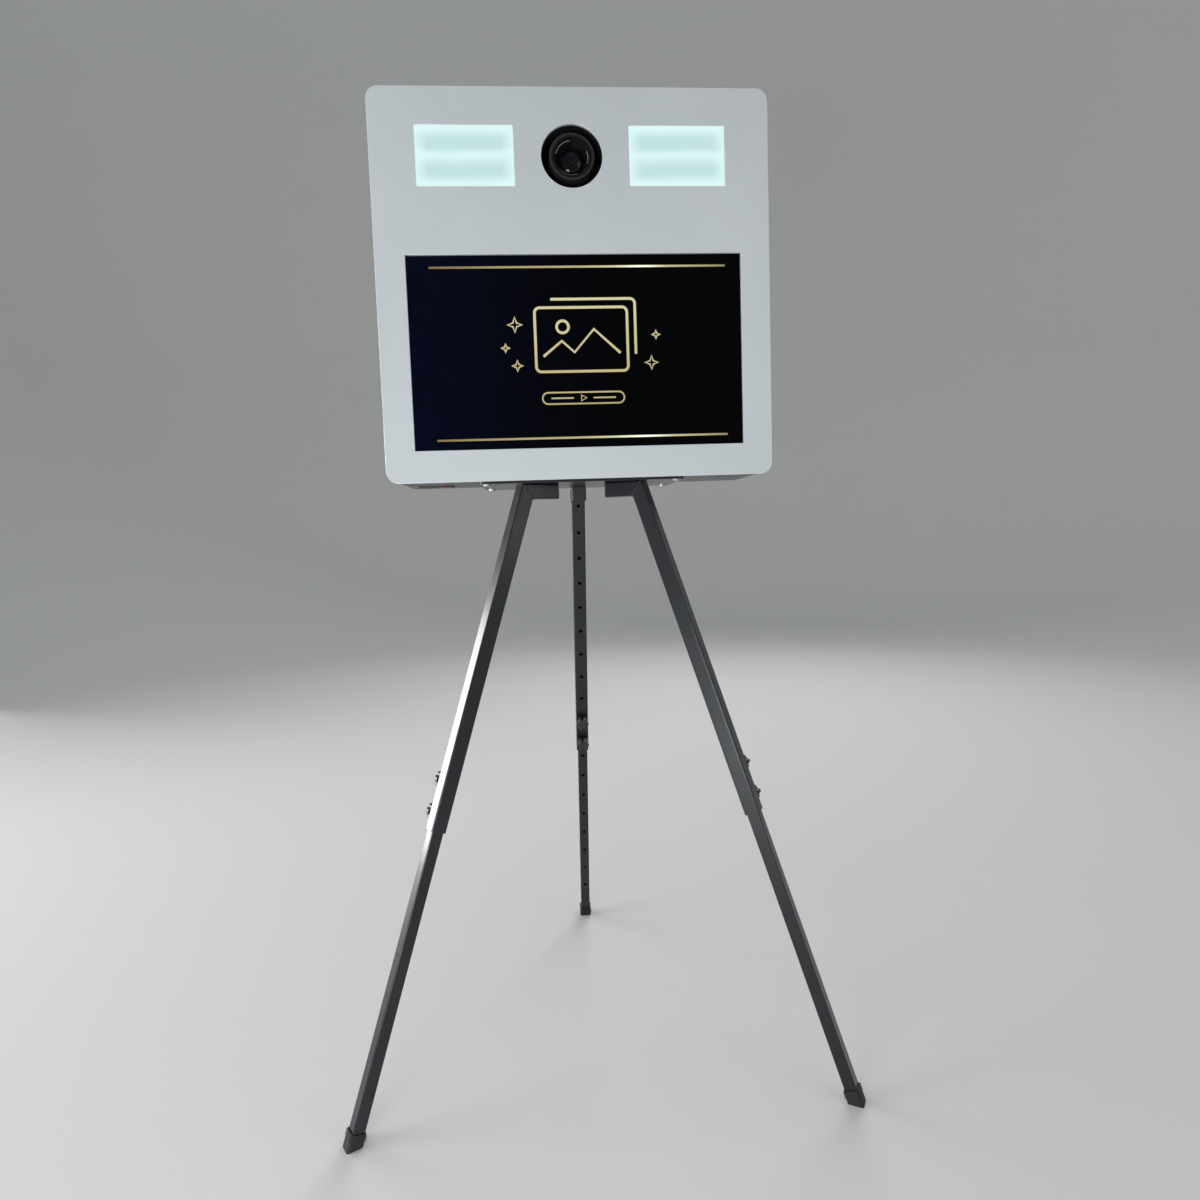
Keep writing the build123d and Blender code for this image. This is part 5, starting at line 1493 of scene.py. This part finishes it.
@dataclass
class Studio:
    """Pale floor that curves up all round, soft lights and the camera."""

    camera_place: tuple[float, float, float] = (-0.07296, -1.47065, 0.91037)
    camera_yaw: float = -4.2124
    camera_pitch: float = 4.8819
    camera_roll: float = 1.9186
    focal_share: float = 0.65013
    sensor: float = 36.0
    floor_radius: float = 5.0
    curve_radius: float = 2.5
    wall_top: float = 10.0
    steps: int = 96

    def build_camera(self) -> None:
        """Builds the camera and makes it the scene's own."""
        turns = (self.camera_yaw, self.camera_pitch, self.camera_roll)
        yaw, pitch, roll = (math.radians(turn) for turn in turns)
        ahead = Vector((-math.sin(yaw) * math.cos(pitch), math.cos(yaw) * math.cos(pitch), -math.sin(pitch)))
        right = Vector((math.cos(yaw), math.sin(yaw), 0.0))
        down = ahead.cross(right)
        right_rolled = math.cos(roll) * right + math.sin(roll) * down
        down_rolled = math.cos(roll) * down - math.sin(roll) * right
        data = bpy.data.cameras.new("camera")
        data.sensor_width = self.sensor
        data.lens = self.sensor * self.focal_share
        camera = bpy.data.objects.new("camera", data)
        turn = Matrix((right_rolled, -down_rolled, -ahead)).transposed()
        camera.matrix_world = Matrix.Translation(self.camera_place) @ turn.to_4x4()
        bpy.context.scene.collection.objects.link(camera)
        bpy.context.scene.camera = camera

    def _floor_material(self) -> Material:
        """Gives the pale matt finish of the floor."""
        material = bpy.data.materials.new("studio_paper")
        material.use_nodes = True
        shader = material.node_tree.nodes["Principled BSDF"]
        shader.inputs["Base Color"].default_value = (0.68, 0.68, 0.67, 1.0)
        shader.inputs["Roughness"].default_value = 0.85
        shader.inputs["Specular IOR Level"].default_value = 0.1
        return material

    def build_floor(self) -> None:
        """Builds the floor, a disc whose rim curves up into a wall."""
        bend = 10
        profile = [(0.02, 0.0), (self.floor_radius * 0.5, 0.0)]
        for step in range(bend + 1):
            turn = math.pi / 2 * step / bend
            profile.append((self.floor_radius + self.curve_radius * math.sin(turn),
                            self.curve_radius * (1 - math.cos(turn))))
        profile.append((self.floor_radius + self.curve_radius, self.wall_top))
        work = bmesh.new()
        rings = [[work.verts.new((radius * math.cos(2 * math.pi * step / self.steps),
                                  radius * math.sin(2 * math.pi * step / self.steps), height))
                  for step in range(self.steps)] for radius, height in profile]
        for inner, outer in zip(rings, rings[1:]):
            for step in range(self.steps):
                after = (step + 1) % self.steps
                work.faces.new((inner[step], outer[step], outer[after], inner[after]))
        work.faces.new(rings[0])
        for face in work.faces:
            face.smooth = True
        mesh = bpy.data.meshes.new("studio_floor")
        work.to_mesh(mesh)
        work.free()
        mesh.materials.append(self._floor_material())
        floor = bpy.data.objects.new("studio_floor", mesh)
        bpy.context.scene.collection.objects.link(floor)

    def build_lights(self) -> None:
        """Builds the lights and the dim sky."""
        for lamp in (
            Lamp("key_left", (-3.6, -0.6, 1.5), (0.0, -0.1, 1.4), 2.0, 60.0, (1.0, 0.985, 0.96)),
            Lamp("low_front", (-0.75, -1.9, 0.3), (0.0, -0.2, 1.1), 0.8, 26.0, (0.92, 0.97, 1.0)),
            Lamp("fill_right", (2.8, -2.7, 1.6), (0.0, 0.0, 1.3), 1.8, 12.0, (1.0, 0.97, 0.93)),
            Lamp("rim_left", (-4.0, 2.3, 0.5), (-0.3, -0.3, 0.6), 2.4, 42.0, (1.0, 0.98, 0.96),
                 math.radians(80.0)),
            Lamp("back_top", (1.2, 3.4, 3.4), (0.0, 0.0, 1.3), 2.4, 80.0),
        ):
            lamp.build()
        world = bpy.data.worlds.new("soft_sky")
        world.use_nodes = True
        sky = world.node_tree.nodes["Background"]
        sky.inputs["Color"].default_value = (0.91, 0.96, 1.0, 1.0)
        sky.inputs["Strength"].default_value = 0.55
        bpy.context.scene.world = world
        bpy.context.scene.view_settings.view_transform = "Standard"


def main() -> None:
    """Builds the studio and every sub-assembly in order."""
    logging.basicConfig(level=logging.INFO, format="%(name)s: %(message)s")
    studio = Studio()
    studio.build_camera()
    studio.build_floor()
    studio.build_lights()
    finishes = Finishes()
    trees = Trees()
    FrontPanel(finishes).dress()
    for assembly in (Screen, CameraUnit, Electronics, Case, RearDoor, Stand):
        part = assembly(finishes, trees)
        part.dress()
        part.build()


if __name__ == "__main__":
    main()
